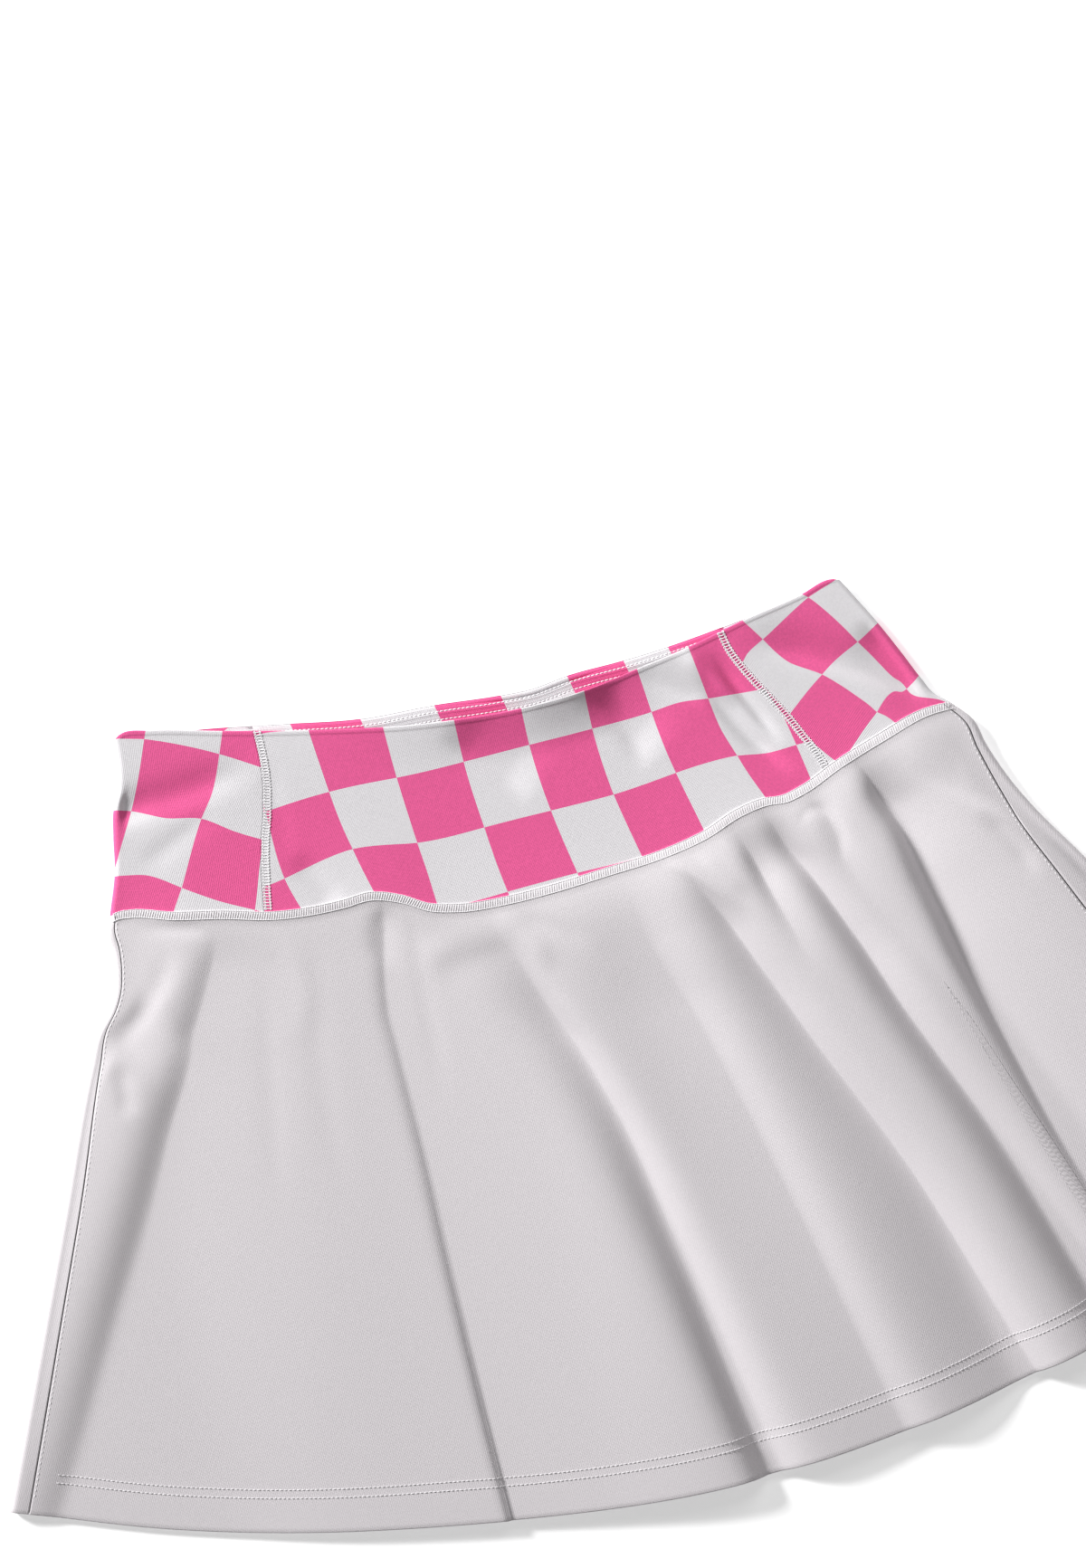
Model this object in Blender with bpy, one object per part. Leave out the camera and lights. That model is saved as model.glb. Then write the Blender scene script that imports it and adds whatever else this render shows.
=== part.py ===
"""A flared knit skirt with a wide contoured waist yoke, laid flat on its back with its front up.

The garment is a flattened tube of cloth: two layers that turn into each other in a soft fold down
each side. The yoke is a front panel, two side panels that run round the sides and a back panel with
a narrow facing inside its top edge. The skirt is a front and a back panel, and its back panel
comes a little way round to the front down each side. The front skirt stands in pipes between
radiating valleys.

Every place on the garment is given by a fraction across it, 0 at its left side and 1 at its right
side, and a fraction down it. Drawing sizes are in millimetres from the middle of the waist, with
X across and Y up the garment. The underside lies flat at Z = 0.
"""

import math

import bpy
import numpy as np

MM = 0.001

# Cloth
SKIRT_WALL = 1.2
YOKE_WALL = 1.5  # the yoke is made of two plies
FACING_WALL = 1.0
SEAM_GAP = 0.3  # between two pieces that a seam joins
SIDE_HEIGHT = 6.0  # over the two layers where they turn into each other at a side
YOKE_TOP = 6.0  # upper face of the front yoke
SEAM_TOP = 8.0  # and at its lower seam
LEAST_TOP = 3.2  # upper face of the front cloth where a valley touches the back layer
FLOOR_EASE = 2.0  # how sharply a deep valley levels out there
YOKE_SIDE_SLOPE = 40.0  # in from the side to the yoke's full height
SKIRT_SIDE_SLOPE = 9.0

# Lengths down the cloth
YOKE_LENGTH = 85.0
SKIRT_LENGTH = 295.0

# Where the middle of the waist lies from the middle of the garment's box
WAIST_PLACE = (-15.0, 201.2)

# The corners of the laid garment
WAIST_LEFT, WAIST_RIGHT = -177.0, 174.5
SEAM_LEFT, SEAM_RIGHT = -199.0, 211.0
HEM_LEFT, HEM_RIGHT = -313.0, 343.0

# The yoke's two panel seams on the front: (down, across)
LEFT_PANEL_SEAM = (
    (0, 0.1855), (0.2, 0.1865), (0.47, 0.1858), (0.6, 0.1796), (0.73, 0.1753), (0.86, 0.1746),
    (1, 0.1755),
)
RIGHT_PANEL_SEAM = (
    (0, 0.831), (0.12, 0.828), (0.22, 0.8293), (0.32, 0.8323), (0.46, 0.8382), (0.63, 0.8453),
    (0.77, 0.8487), (0.93, 0.8506), (1, 0.846),
)

FACING_DEPTH = 22.0  # down from the back waist
FACING_IN_FROM_SIDE = 0.03  # as a fraction across
# How far the facing's upper edge lies below the back waist: (across, drop)
FACING_DROP = ((-177, 2.4), (5, 2.4), (20, 3.4), (33, 3.6), (45, 2.4), (174.5, 2.4))

# Each edge that runs across the garment: (across, up)
FRONT_WAIST = (
    (-177, 4.0), (-172, 5.8), (-160, 4.0), (-125, -5.0), (-86, -14.3), (-36, -24.0), (14, -28.5),
    (44, -27.7), (72, -23.5), (98, -19.3), (125, -13.5), (155, -8.2), (170, -4.6), (174.5, -5.5),
)
BACK_WAIST = (
    (-177, 3.0), (-137, -1.4), (-100, -8.0), (-61, -15.0), (-27, -17.0), (6, -20.2), (20, -20.8),
    (38, -18.8), (66, -18.2), (88, -17.0), (118, -13.9), (174.5, -6.5),
)
FRONT_SEAM = (
    (-199, -76.8), (-194, -75.6), (-188, -76.1), (-169, -81.8), (-147, -86.7), (-122, -93.3),
    (-105, -95.3), (-90, -95.7), (-76, -95.3), (-62, -100.4), (-52, -106.5), (-40, -110.2),
    (-14, -112.7), (5, -112.6), (33, -111.1), (63, -109.0), (83, -105.2), (100, -99.2),
    (114, -97.1), (122.5, -97.9), (133, -95.6), (151, -88.3), (174, -80.8), (197, -74.5),
    (211, -74.2),
)
BACK_SEAM = (
    (-199, -76.8), (-130, -97.0), (-60, -109.5), (5, -113.5), (75, -108.5), (145, -94.0),
    (211, -74.2),
)
FRONT_HEM = (
    (-313, -338.0), (-240, -365.0), (-110, -395.0), (17, -408.0), (150, -396.0), (275, -363.0),
    (343, -334.0),
)
BACK_HEM = (
    (-313, -338.0), (-240, -363.5), (-110, -392.0), (17, -404.5), (150, -392.5), (275, -361.0),
    (343, -334.0),
)

# How far the front waist stands up from the yoke's face: (across, lift)
WAIST_LIFT = (
    (0, 0), (0.3, 0.4), (0.38, 1.8), (0.44, 3.6), (0.52, 3.8), (0.57, 6.0), (0.625, 6.2), (0.67, 2.6),
    (0.72, 1.0), (0.8, 0.6), (0.9, 0.3), (1, 0),
)
WAIST_LIFT_DEPTH = 25.0  # it is gone this far below the waist

# How far each side lies inside the straight line between its corners: (down, inset)
YOKE_LEFT_INSET = ((0, 0), (0.2, 2.6), (0.3, 2.4), (0.4, 0.6), (0.55, 0.8), (0.75, 1.9), (1, 0))
YOKE_RIGHT_INSET = ((0, 0), (0.35, 0.3), (0.6, 1.6), (0.8, 3.0), (0.93, 3.0), (1, 0))
SKIRT_LEFT_INSET = (
    (0, 0), (0.03, 0.5), (0.064, 4.6), (0.104, 7.8), (0.146, 9.0), (0.17, 7.8), (0.2, 4.2),
    (0.256, 2.9), (0.5, 2.0), (1, 0),
)
SKIRT_RIGHT_INSET = (
    (0, 0), (0.04, -3.2), (0.09, 0.0), (0.168, 2.8), (0.22, 2.9), (0.33, 0.0), (0.6, -2.5), (1, 0),
)
# How far the back skirt comes round to the front: (down, width on the front)
LEFT_TURN = ((0, 3.8), (0.17, 4.0), (0.27, 5.8), (0.37, 7.2), (0.7, 8.5), (1, 9.0))
RIGHT_TURN = ((0, 3.8), (0.07, 4.4), (0.18, 7.5), (0.25, 11.6), (0.38, 16.5), (0.7, 19.0), (1, 20.0))

# The height of the pipes' crowns at the hem: (across, height)
CROWNS = (
    (0, 6.0), (0.02, 7.0), (0.045, 8.0), (0.1, 8.6), (0.2, 8.2), (0.3, 7.6), (0.42, 9.2), (0.5, 12.5),
    (0.56, 12.5), (0.64, 14.5), (0.74, 14.0), (0.83, 14.0), (0.9, 13.5), (0.94, 14.0), (0.965, 13.0),
    (1, 6.0),
)
CROWN_GROWTH = ((0, 0), (0.05, 0.42), (0.14, 0.72), (0.3, 0.88), (0.6, 1.0), (1, 1.0))

# The valleys between the pipes: their path across at each of PATH_DOWN, their (depth, left flank,
# right flank) in millimetres at the top and at the hem, the fractions down between which they grow
# to that, and where they are gone (more than 1 if they run to the hem).
# "crisp" is 1 for a sharp bottom and 2 for a soft one.
PATH_DOWN = (0.0, 0.06, 0.15, 0.24, 0.36, 0.6, 1.0)
VALLEYS = (
    {"name": "left side", "across": (0.130, 0.117, 0.099, 0.099, 0.086, 0.070, 0.056),
     "top": (0.9, 6, 28), "hem": (10.0, 18, 95), "grows": (0.0, 0.10), "gone": 9.0, "crisp": 1.6},
    {"name": "left plane", "across": (0.315, 0.306, 0.297, 0.306, 0.3165, 0.330, 0.350),
     "top": (1.2, 4.0, 30), "hem": (2.4, 1.2, 60), "grows": (0.0, 0.07), "gone": 9.0, "crisp": 1.4},
    {"name": "centre", "across": (0.400, 0.428, 0.453, 0.478, 0.499, 0.520, 0.540),
     "top": (5.6, 15, 4.5), "hem": (11.0, 7, 12), "grows": (0.03, 0.25), "gone": 9.0, "crisp": 1.6},
    {"name": "soft centre", "across": (0.575, 0.580, 0.588, 0.602, 0.612, 0.625, 0.640),
     "top": (4.4, 42, 10.5), "hem": (6.0, 42, 11.5), "grows": (0.0, 0.25), "gone": 9.0, "crisp": 1.6},
    {"name": "right of centre", "across": (0.640, 0.653, 0.673, 0.685, 0.697, 0.722, 0.740),
     "top": (5.0, 4.5, 7), "hem": (13.0, 33, 8), "grows": (0.02, 0.17), "gone": 9.0, "crisp": 1.4},
    {"name": "right short", "across": (0.708, 0.720, 0.727, 0.731, 0.730, 0.735, 0.750),
     "top": (6.8, 4.2, 13), "hem": (4.5, 6, 6), "grows": (0.0, 0.12), "gone": 0.3, "crisp": 1.6},
    {"name": "right inner", "across": (0.752, 0.757, 0.774, 0.782, 0.785, 0.798, 0.810),
     "top": (7.4, 6.5, 10), "hem": (12.0, 10.5, 11), "grows": (0.0, 0.12), "gone": 9.0, "crisp": 1.5},
    {"name": "right wide", "across": (0.815, 0.815, 0.812, 0.818, 0.828, 0.834, 0.840),
     "top": (0.8, 4, 4), "hem": (7.0, 22, 22), "grows": (0.0, 0.05), "gone": 9.0, "crisp": 1.8},
    {"name": "right outer", "across": (0.869, 0.871, 0.878, 0.870, 0.8565, 0.8465, 0.850),
     "top": (9.2, 4.6, 12), "hem": (12.0, 4.2, 42), "grows": (0.0, 0.12), "gone": 9.0, "crisp": 1.25},
)
# A line down the skirt from the end of each panel seam, at each of PATH_DOWN
LINE_FROM_LEFT_SEAM = (0.1755, 0.177, 0.179, 0.181, 0.183, 0.187, 0.195)
LINE_FROM_RIGHT_SEAM = (0.846, 0.844, 0.840, 0.836, 0.830, 0.826, 0.832)

# Fineness of the meshes
SKIRT_ROWS = 22
YOKE_ROWS = 8
FACING_ROWS = 2
ROW_CROWDING = 1.25
COLUMNS_BETWEEN = (5, 3, 5, 5, 7, 5, 4, 3, 3, 2, 4, 7)  # from one line down the front skirt to the next
BACK_COLUMNS = 14
FACING_COLUMNS = 24
TURN_COLUMNS = 3  # on the front, from a side seam to the side
ROUND_COLUMNS = 5  # round the fold at a side
BELOW_COLUMNS = 3  # on the back, from the side
SIDE_RUN = 24.0  # how far these last ones reach in under the skirt

PINK = (0.74, 0.11, 0.30)
PALE = (0.69, 0.67, 0.68)
GREY = (0.62, 0.59, 0.60)


def curve(rows):
    """A smooth curve through rows of (place, value), as a function of the place."""
    places, values = np.array(rows, float).T
    steps = np.diff(places)
    rises = np.diff(values) / steps
    slopes = np.concatenate([rises[:1], np.zeros(len(steps) - 1), rises[-1:]])
    slopes[1:-1] = (rises[:-1] * steps[1:] + rises[1:] * steps[:-1]) / (steps[1:] + steps[:-1])

    def value(place):
        place = np.clip(place, places[0], places[-1])
        before = np.clip(np.searchsorted(places, place, side="right") - 1, 0, len(steps) - 1)
        step = steps[before]
        t = (place - places[before]) / step
        ends = (1 + 2 * t) * (1 - t) ** 2 * values[before] + (3 - 2 * t) * t**2 * values[before + 1]
        bend = t * (1 - t) ** 2 * slopes[before] - t**2 * (1 - t) * slopes[before + 1]
        return ends + step * bend

    return value


def blend(first, last, share):
    return first + (last - first) * share


def ramp(value, start, full):
    """0 up to start, 1 from full, and smooth between them."""
    t = np.clip((value - start) / (full - start), 0, 1)
    return t * t * (3 - 2 * t)


def layer(top_ends, bottom_ends, top_edge, bottom_edge, left_inset, right_inset):
    """A function that gives the place (x, y) at a fraction across and a fraction down one layer."""
    top_edge, bottom_edge = curve(top_edge), curve(bottom_edge)
    left_inset, right_inset = curve(left_inset), curve(right_inset)

    def place(across, down):
        top_x = blend(*top_ends, across)
        bottom_x = blend(*bottom_ends, across)
        inset = left_inset(down) * (1 - across) ** 3 - right_inset(down) * across**3
        x = blend(top_x, bottom_x, down) + inset
        return x, blend(top_edge(top_x), bottom_edge(bottom_x), down)

    def width(down):
        return place(1.0, down)[0] - place(0.0, down)[0]

    return place, width


WAIST_ENDS = (WAIST_LEFT, WAIST_RIGHT)
SEAM_ENDS = (SEAM_LEFT, SEAM_RIGHT)
HEM_ENDS = (HEM_LEFT, HEM_RIGHT)
YOKE_INSETS = (YOKE_LEFT_INSET, YOKE_RIGHT_INSET)
SKIRT_INSETS = (SKIRT_LEFT_INSET, SKIRT_RIGHT_INSET)
front_yoke_place, yoke_width = layer(WAIST_ENDS, SEAM_ENDS, FRONT_WAIST, FRONT_SEAM, *YOKE_INSETS)
back_yoke_place, _ = layer(WAIST_ENDS, SEAM_ENDS, BACK_WAIST, BACK_SEAM, *YOKE_INSETS)
front_skirt_place, skirt_width = layer(SEAM_ENDS, HEM_ENDS, FRONT_SEAM, FRONT_HEM, *SKIRT_INSETS)
back_skirt_place, _ = layer(SEAM_ENDS, HEM_ENDS, BACK_SEAM, BACK_HEM, *SKIRT_INSETS)

left_panel_seam = curve(LEFT_PANEL_SEAM)
right_panel_seam = curve(RIGHT_PANEL_SEAM)
facing_drop = curve(FACING_DROP)
waist_lift = curve(WAIST_LIFT)
crown_height = curve(CROWNS)
crown_growth = curve(CROWN_GROWTH)
left_turn = curve(LEFT_TURN)
right_turn = curve(RIGHT_TURN)
valley_paths = [curve(tuple(zip(PATH_DOWN, valley["across"]))) for valley in VALLEYS]


def rise_from_side(height, across, width, inwards):
    """A height that starts from the fold at either side and is all there this far in from it."""
    side = np.minimum(across, 1 - across) * width
    return blend(SIDE_HEIGHT, height, ramp(side, SIDE_HEIGHT / 2, inwards))


def yoke_top(across, down):
    """The height of the front yoke's upper face."""
    lift = waist_lift(across) * (1 - ramp(down * YOKE_LENGTH, -WAIST_LIFT_DEPTH, WAIST_LIFT_DEPTH)) * 2
    height = blend(YOKE_TOP, SEAM_TOP, down**3) + lift
    return rise_from_side(height, across, yoke_width(down), YOKE_SIDE_SLOPE)


def skirt_top(across, down):
    """The height of the front skirt's upper face: pipes, less the valleys between them."""
    width = skirt_width(down)
    height = blend(SEAM_TOP, crown_height(across), crown_growth(down))
    for valley, path in zip(VALLEYS, valley_paths):
        off = (across - path(down)) * width
        depth, left, right = (blend(*ends, down) for ends in zip(valley["top"], valley["hem"]))
        flank = np.abs(off) / np.where(off < 0, left, right)
        depth = depth * ramp(down, *valley["grows"]) * (1 - ramp(down, 0.0, valley["gone"]))
        height = height - depth * np.exp(-(flank ** valley["crisp"]))
    height = LEAST_TOP + np.logaddexp(0, FLOOR_EASE * (height - LEAST_TOP)) / FLOOR_EASE
    slope = blend(YOKE_SIDE_SLOPE, SKIRT_SIDE_SLOPE, ramp(down, 0.05, 0.3))
    return rise_from_side(height, across, width, slope)


def to_frame(x, y, z):
    """Places in drawing millimetres, as points in the frame."""
    x, y, z = np.broadcast_arrays(x, y, z)
    return np.stack([x + WAIST_PLACE[0], y + WAIST_PLACE[1], z], axis=-1) * MM


def wall(name, outer, inner, cloth):
    """A closed sheet of cloth between two grids of points, with rows down it and columns across it."""
    rows, columns = outer.shape[:2]
    count = rows * columns
    near = np.arange(count).reshape(rows, columns)
    corners = [near[:-1, :-1], near[1:, :-1], near[1:, 1:], near[:-1, 1:]]
    sheet = np.stack(corners, axis=-1).reshape(-1, 4)
    rim = np.concatenate([near[0, :-1], near[:-1, -1], near[-1, :0:-1], near[:0:-1, 0]])
    following = np.roll(rim, -1)
    edge = np.stack([rim, following, following + count, rim + count], axis=-1)
    faces = np.concatenate([sheet, sheet[:, [0, 3, 2, 1]] + count, edge])
    points = np.concatenate([outer.reshape(-1, 3), inner.reshape(-1, 3)])
    a, b, c, d = (points[faces[:, corner]] for corner in range(4))
    volume = np.einsum("ij,ij->", a, np.cross(b, c) + np.cross(c, d))
    if volume < 0:
        faces = faces[:, [0, 3, 2, 1]]
    mesh = bpy.data.meshes.new(name)
    mesh.from_pydata(points.tolist(), [], faces.tolist())
    mesh.materials.append(cloth)
    mesh.shade_smooth()
    mesh.set_sharp_from_angle(angle=math.radians(50))
    piece = bpy.data.objects.new(name, mesh)
    bpy.context.collection.objects.link(piece)
    return piece


def cloth_material(name, colour, roughness):
    material = bpy.data.materials.new(name)
    material.use_nodes = True
    shader = material.node_tree.nodes["Principled BSDF"]
    shader.inputs["Base Color"].default_value = (*colour, 1)
    shader.inputs["Roughness"].default_value = roughness
    return material


def rows_down(count, length, seam_at_end):
    """Fractions down a piece, closer together near its top and clear of its seams."""
    half = SEAM_GAP / 2 / length
    top = 0.0 if seam_at_end else half
    end = 1.0 - half if seam_at_end else 1.0
    return blend(top, end, np.linspace(0, 1, count + 1) ** ROW_CROWDING)


def turn(width, on_front, back_in, thick, top):
    """One row of cloth round a side, from the fractions on_front to back_in millimetres in below.

    Gives the outer and the inner face, as (fraction in from the side, height), and how far each
    column has gone from the front layer to the back one."""
    radius = SIDE_HEIGHT / 2
    angles = np.linspace(math.pi / 2, -math.pi / 2, ROUND_COLUMNS + 1)
    below = np.linspace(radius, back_in, BELOW_COLUMNS + 1)[1:] / width
    faces = []
    for bend, above in ((radius, 0.0), (radius - thick, thick)):
        inwards = np.concatenate([on_front, (radius - bend * np.cos(angles)) / width, below])
        round_side = radius + bend * np.sin(angles)
        height = [top(on_front) - above, round_side, np.full(BELOW_COLUMNS, above)]
        faces.append((inwards, np.concatenate(height)))
    rounding = np.linspace(0, 1, ROUND_COLUMNS + 1)
    return faces, np.concatenate([np.zeros(len(on_front)), rounding, np.ones(BELOW_COLUMNS)])


def between(front_place, back_place, across, down, under):
    """A place on the way round from the front layer to the back layer."""
    x, front_y = front_place(across, down)
    return x, blend(front_y, back_place(across, down)[1], under)


def front_skirt_across(down):
    """Fractions across the front skirt, in columns that follow its valleys."""
    width = skirt_width(down)
    half = SEAM_GAP / 2
    lines = [path(down) for path in valley_paths]
    lines.insert(1, curve(tuple(zip(PATH_DOWN, LINE_FROM_LEFT_SEAM)))(down))
    lines.insert(-1, curve(tuple(zip(PATH_DOWN, LINE_FROM_RIGHT_SEAM)))(down))
    lines.insert(0, (left_turn(down) + half) / width)
    lines.append(1 - (right_turn(down) + half) / width)
    gores = []
    for left, right, columns in zip(lines, lines[1:], COLUMNS_BETWEEN):
        steps = (1 - np.cos(np.linspace(0, math.pi, columns + 1)[:-1])) / 2
        gores.append(blend(left, right, steps))
    return np.concatenate([*gores, lines[-1]], axis=1)


def seam_stops(left, right):
    """The front skirt's columns at the yoke seam, from one fraction across to another."""
    stops = front_skirt_across(np.zeros((1, 1)))[0]
    nearly = 0.001
    return stops[(stops > left - nearly) & (stops < right + nearly)]


def make_side_yoke(name, right, cloth):
    """A side panel of the yoke, from its seam on the front, round the side, to its seam on the back."""
    grids = ([], [])
    seam = right_panel_seam if right else left_panel_seam
    side = 1.0 if right else 0.0
    if right:
        stops = 1 - seam_stops(seam(1), 1)
    else:
        stops = seam_stops(0, seam(1))[::-1]
    for down in rows_down(YOKE_ROWS, YOKE_LENGTH, True):
        width = yoke_width(down)
        seam_in = abs(side - seam(down)) - SEAM_GAP / 2 / width
        on_front = stops * seam_in / stops[0]
        faces, under = turn(width, on_front, seam_in * width, YOKE_WALL,
                            lambda a: yoke_top(abs(side - a), down))
        for grid, (inwards, height) in zip(grids, faces):
            across = abs(side - inwards)
            place = between(front_yoke_place, back_yoke_place, across, down, under)
            grid.append(to_frame(*place, height))
    return wall(name, np.array(grids[0]), np.array(grids[1]), cloth)


def yoke_panel_across(shares, down, width):
    """Fractions across a yoke panel between the two side panels, clear of their seams."""
    half = SEAM_GAP / 2 / width
    return blend(left_panel_seam(down) + half, right_panel_seam(down) - half, shares)


def make_front_yoke(cloth):
    down = rows_down(YOKE_ROWS, YOKE_LENGTH, True)[:, None]
    left, right = left_panel_seam(1), right_panel_seam(1)
    shares = (seam_stops(left, right) - left) / (right - left)
    across = yoke_panel_across(shares, down, yoke_width(down))
    place = front_yoke_place(across, down)
    top = yoke_top(across, down)
    return wall("front_yoke", to_frame(*place, top), to_frame(*place, top - YOKE_WALL), cloth)


def make_back_yoke(cloth):
    down = rows_down(YOKE_ROWS, YOKE_LENGTH, True)[:, None]
    across = yoke_panel_across(np.linspace(0, 1, BACK_COLUMNS + 1), down, yoke_width(down))
    place = back_yoke_place(across, down)
    return wall("back_yoke", to_frame(*place, 0.0), to_frame(*place, YOKE_WALL), cloth)


def make_back_facing(cloth):
    """The strip turned in behind the back waist. It lies on the back yoke's inner face."""
    across = np.linspace(FACING_IN_FROM_SIDE, 1 - FACING_IN_FROM_SIDE, FACING_COLUMNS + 1)
    drop = facing_drop(blend(*WAIST_ENDS, across))
    down = blend(drop, FACING_DEPTH, np.linspace(0, 1, FACING_ROWS + 1)[:, None]) / YOKE_LENGTH
    place = back_yoke_place(across, down)
    lower = YOKE_WALL + SEAM_GAP
    upper = lower + FACING_WALL
    return wall("back_facing", to_frame(*place, lower), to_frame(*place, upper), cloth)


def make_front_skirt(cloth):
    down = rows_down(SKIRT_ROWS, SKIRT_LENGTH, False)[:, None]
    across = front_skirt_across(down)
    place = front_skirt_place(across, down)
    top = skirt_top(across, down)
    return wall("front_skirt", to_frame(*place, top), to_frame(*place, top - SKIRT_WALL), cloth)


def make_back_skirt(cloth):
    """The back panel, with the two strips of it that come round to the front."""
    grids = ([], [])
    for down in rows_down(SKIRT_ROWS, SKIRT_LENGTH, False):
        width = skirt_width(down)
        half = SEAM_GAP / 2
        left_in, right_in = (
            np.linspace(turned - half, SIDE_HEIGHT / 2, TURN_COLUMNS + 1)[:-1] / width
            for turned in (left_turn(down), right_turn(down))
        )
        left, under = turn(width, left_in, SIDE_RUN, SKIRT_WALL, lambda a: skirt_top(a, down))
        right, _ = turn(width, right_in, SIDE_RUN, SKIRT_WALL, lambda a: skirt_top(1 - a, down))
        under = np.concatenate([under, np.ones(BACK_COLUMNS - 1), under[::-1]])
        for grid, (left_share, left_z), (right_share, right_z) in zip(grids, left, right):
            middle = np.linspace(left_share[-1], 1 - right_share[-1], BACK_COLUMNS + 1)[1:-1]
            across = np.concatenate([left_share, middle, 1 - right_share[::-1]])
            height = np.concatenate([left_z, np.full(BACK_COLUMNS - 1, left_z[-1]), right_z[::-1]])
            place = between(front_skirt_place, back_skirt_place, across, down, under)
            grid.append(to_frame(*place, height))
    return wall("back_skirt", np.array(grids[0]), np.array(grids[1]), cloth)


def main():
    for thing in list(bpy.data.objects):
        bpy.data.objects.remove(thing)
    checked = cloth_material("checked_knit", PINK, 0.75)
    checked_inside = cloth_material("checked_knit_inside", PALE, 0.8)
    grey = cloth_material("skirt_knit", GREY, 0.8)
    make_front_yoke(checked)
    make_side_yoke("left_side_yoke", False, checked)
    make_side_yoke("right_side_yoke", True, checked)
    make_back_yoke(checked)
    make_back_facing(checked_inside)
    make_front_skirt(grey)
    make_back_skirt(grey)


main()
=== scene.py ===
"""The looks of a flared knit skirt with a checked waist yoke, laid flat on its back, front up.

Every place on the garment is a fraction across it (0 at its left side, 1 at its right side) and a
fraction down the yoke or down the skirt. Drawing sizes are in millimetres from the middle of the
waist, with X across and Y up the garment, and they are moved into the frame by WAIST_PLACE.
"""

import math
from functools import partial

import bpy
import numpy as np
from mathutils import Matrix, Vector


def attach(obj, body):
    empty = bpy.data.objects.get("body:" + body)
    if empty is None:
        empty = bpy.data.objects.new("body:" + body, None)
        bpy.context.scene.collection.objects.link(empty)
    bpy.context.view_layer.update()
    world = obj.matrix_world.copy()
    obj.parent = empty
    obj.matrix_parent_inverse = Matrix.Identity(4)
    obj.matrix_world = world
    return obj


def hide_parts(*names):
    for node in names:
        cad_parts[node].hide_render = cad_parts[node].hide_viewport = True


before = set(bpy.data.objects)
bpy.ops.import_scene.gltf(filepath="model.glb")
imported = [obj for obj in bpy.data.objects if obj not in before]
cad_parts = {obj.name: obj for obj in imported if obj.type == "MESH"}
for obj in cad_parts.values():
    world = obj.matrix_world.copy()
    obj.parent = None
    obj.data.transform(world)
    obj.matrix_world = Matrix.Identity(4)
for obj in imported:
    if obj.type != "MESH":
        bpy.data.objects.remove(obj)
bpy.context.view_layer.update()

MM = 0.001
WAIST_PLACE = (-15.0, 201.2)

# ---------------------------------------------------------------- the garment's sizes

SKIRT_WALL, YOKE_WALL, FACING_WALL = 1.2, 1.5, 1.0
SEAM_GAP = 0.04  # the visible cloth nearly meets at a seam
SIDE_SEAM_GAP = 0.5  # but draws apart a little down the sides
BAND_WIDTH, BAND_RISE = 4.1, 0.4  # the overlocked band along the yoke's lower seam
BAND_SLOPES = ((-0.5, 0.5), (-0.4, 0.8))  # from and to, round its upper edge and its lower edge
WAIST_BEAD_HALF, WAIST_BEAD_RISE = 1.15, 0.25  # the rolled edge of the waist
WAIST_BEAD_THICKER = {"front": 0.8, "side": 0.4, "back": 1.1}
SIDE_HEIGHT = 6.0  # of the fold down either side
YOKE_TOP, SEAM_TOP = 6.0, 8.0  # the front's upper face at the waist and at the yoke's lower seam
LEAST_TOP, FLOOR_EASE = 3.2, 2.0  # how low a valley may come, and how sharply it stops there
YOKE_SIDE_SLOPE, SKIRT_SIDE_SLOPE = 40.0, 9.0  # the front has its full height this far from a side
SIDE_SLOPE_CHANGE = (0.05, 0.3)  # the fractions down the skirt over which the one becomes the other
YOKE_LENGTH, SKIRT_LENGTH = 85.0, 295.0
CHECK_SIZE = 32.0

WAIST_ENDS = (-177.0, 174.5)
SEAM_ENDS = (-199.0, 211.0)
HEM_ENDS = (-313.0, 343.0)
# The yoke's two panel seams on the front: (down, across)
LEFT_PANEL_SEAM = (
    (0, 0.1855), (0.2, 0.1865), (0.47, 0.1858), (0.6, 0.1796), (0.73, 0.1753), (0.86, 0.1746),
    (1, 0.1755),
)
RIGHT_PANEL_SEAM = (
    (0, 0.831), (0.12, 0.828), (0.22, 0.8293), (0.32, 0.8323), (0.46, 0.8382), (0.63, 0.8453),
    (0.77, 0.8487), (0.93, 0.8506), (1, 0.846),
)

FACING_DEPTH = 22.0
FACING_SPAN = (0.03, 0.97)  # from and to, across the garment
FACING_CLEAR = 0.3  # between the solids of the yoke and the facing; the visible facing fills it
FACING_FOLD = {"below": 3.4, "half": 0.9, "rise": 0.35}  # its folded upper edge
FACING_ROWS = (2.9, 6.4)  # how far its two rows of stitches lie below the back waist
FURROW_HALF, FURROW_DEPTH = 0.4, 0.3  # along each of them
HEM_ROWS = (16.0, 20.0)  # how far the hem's rows of stitches lie above its edge
# How far the facing's upper edge lies below the back waist: (across, drop)
FACING_DROP = ((-177, 2.4), (5, 2.4), (20, 3.4), (33, 3.6), (45, 2.4), (174.5, 2.4))

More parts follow.
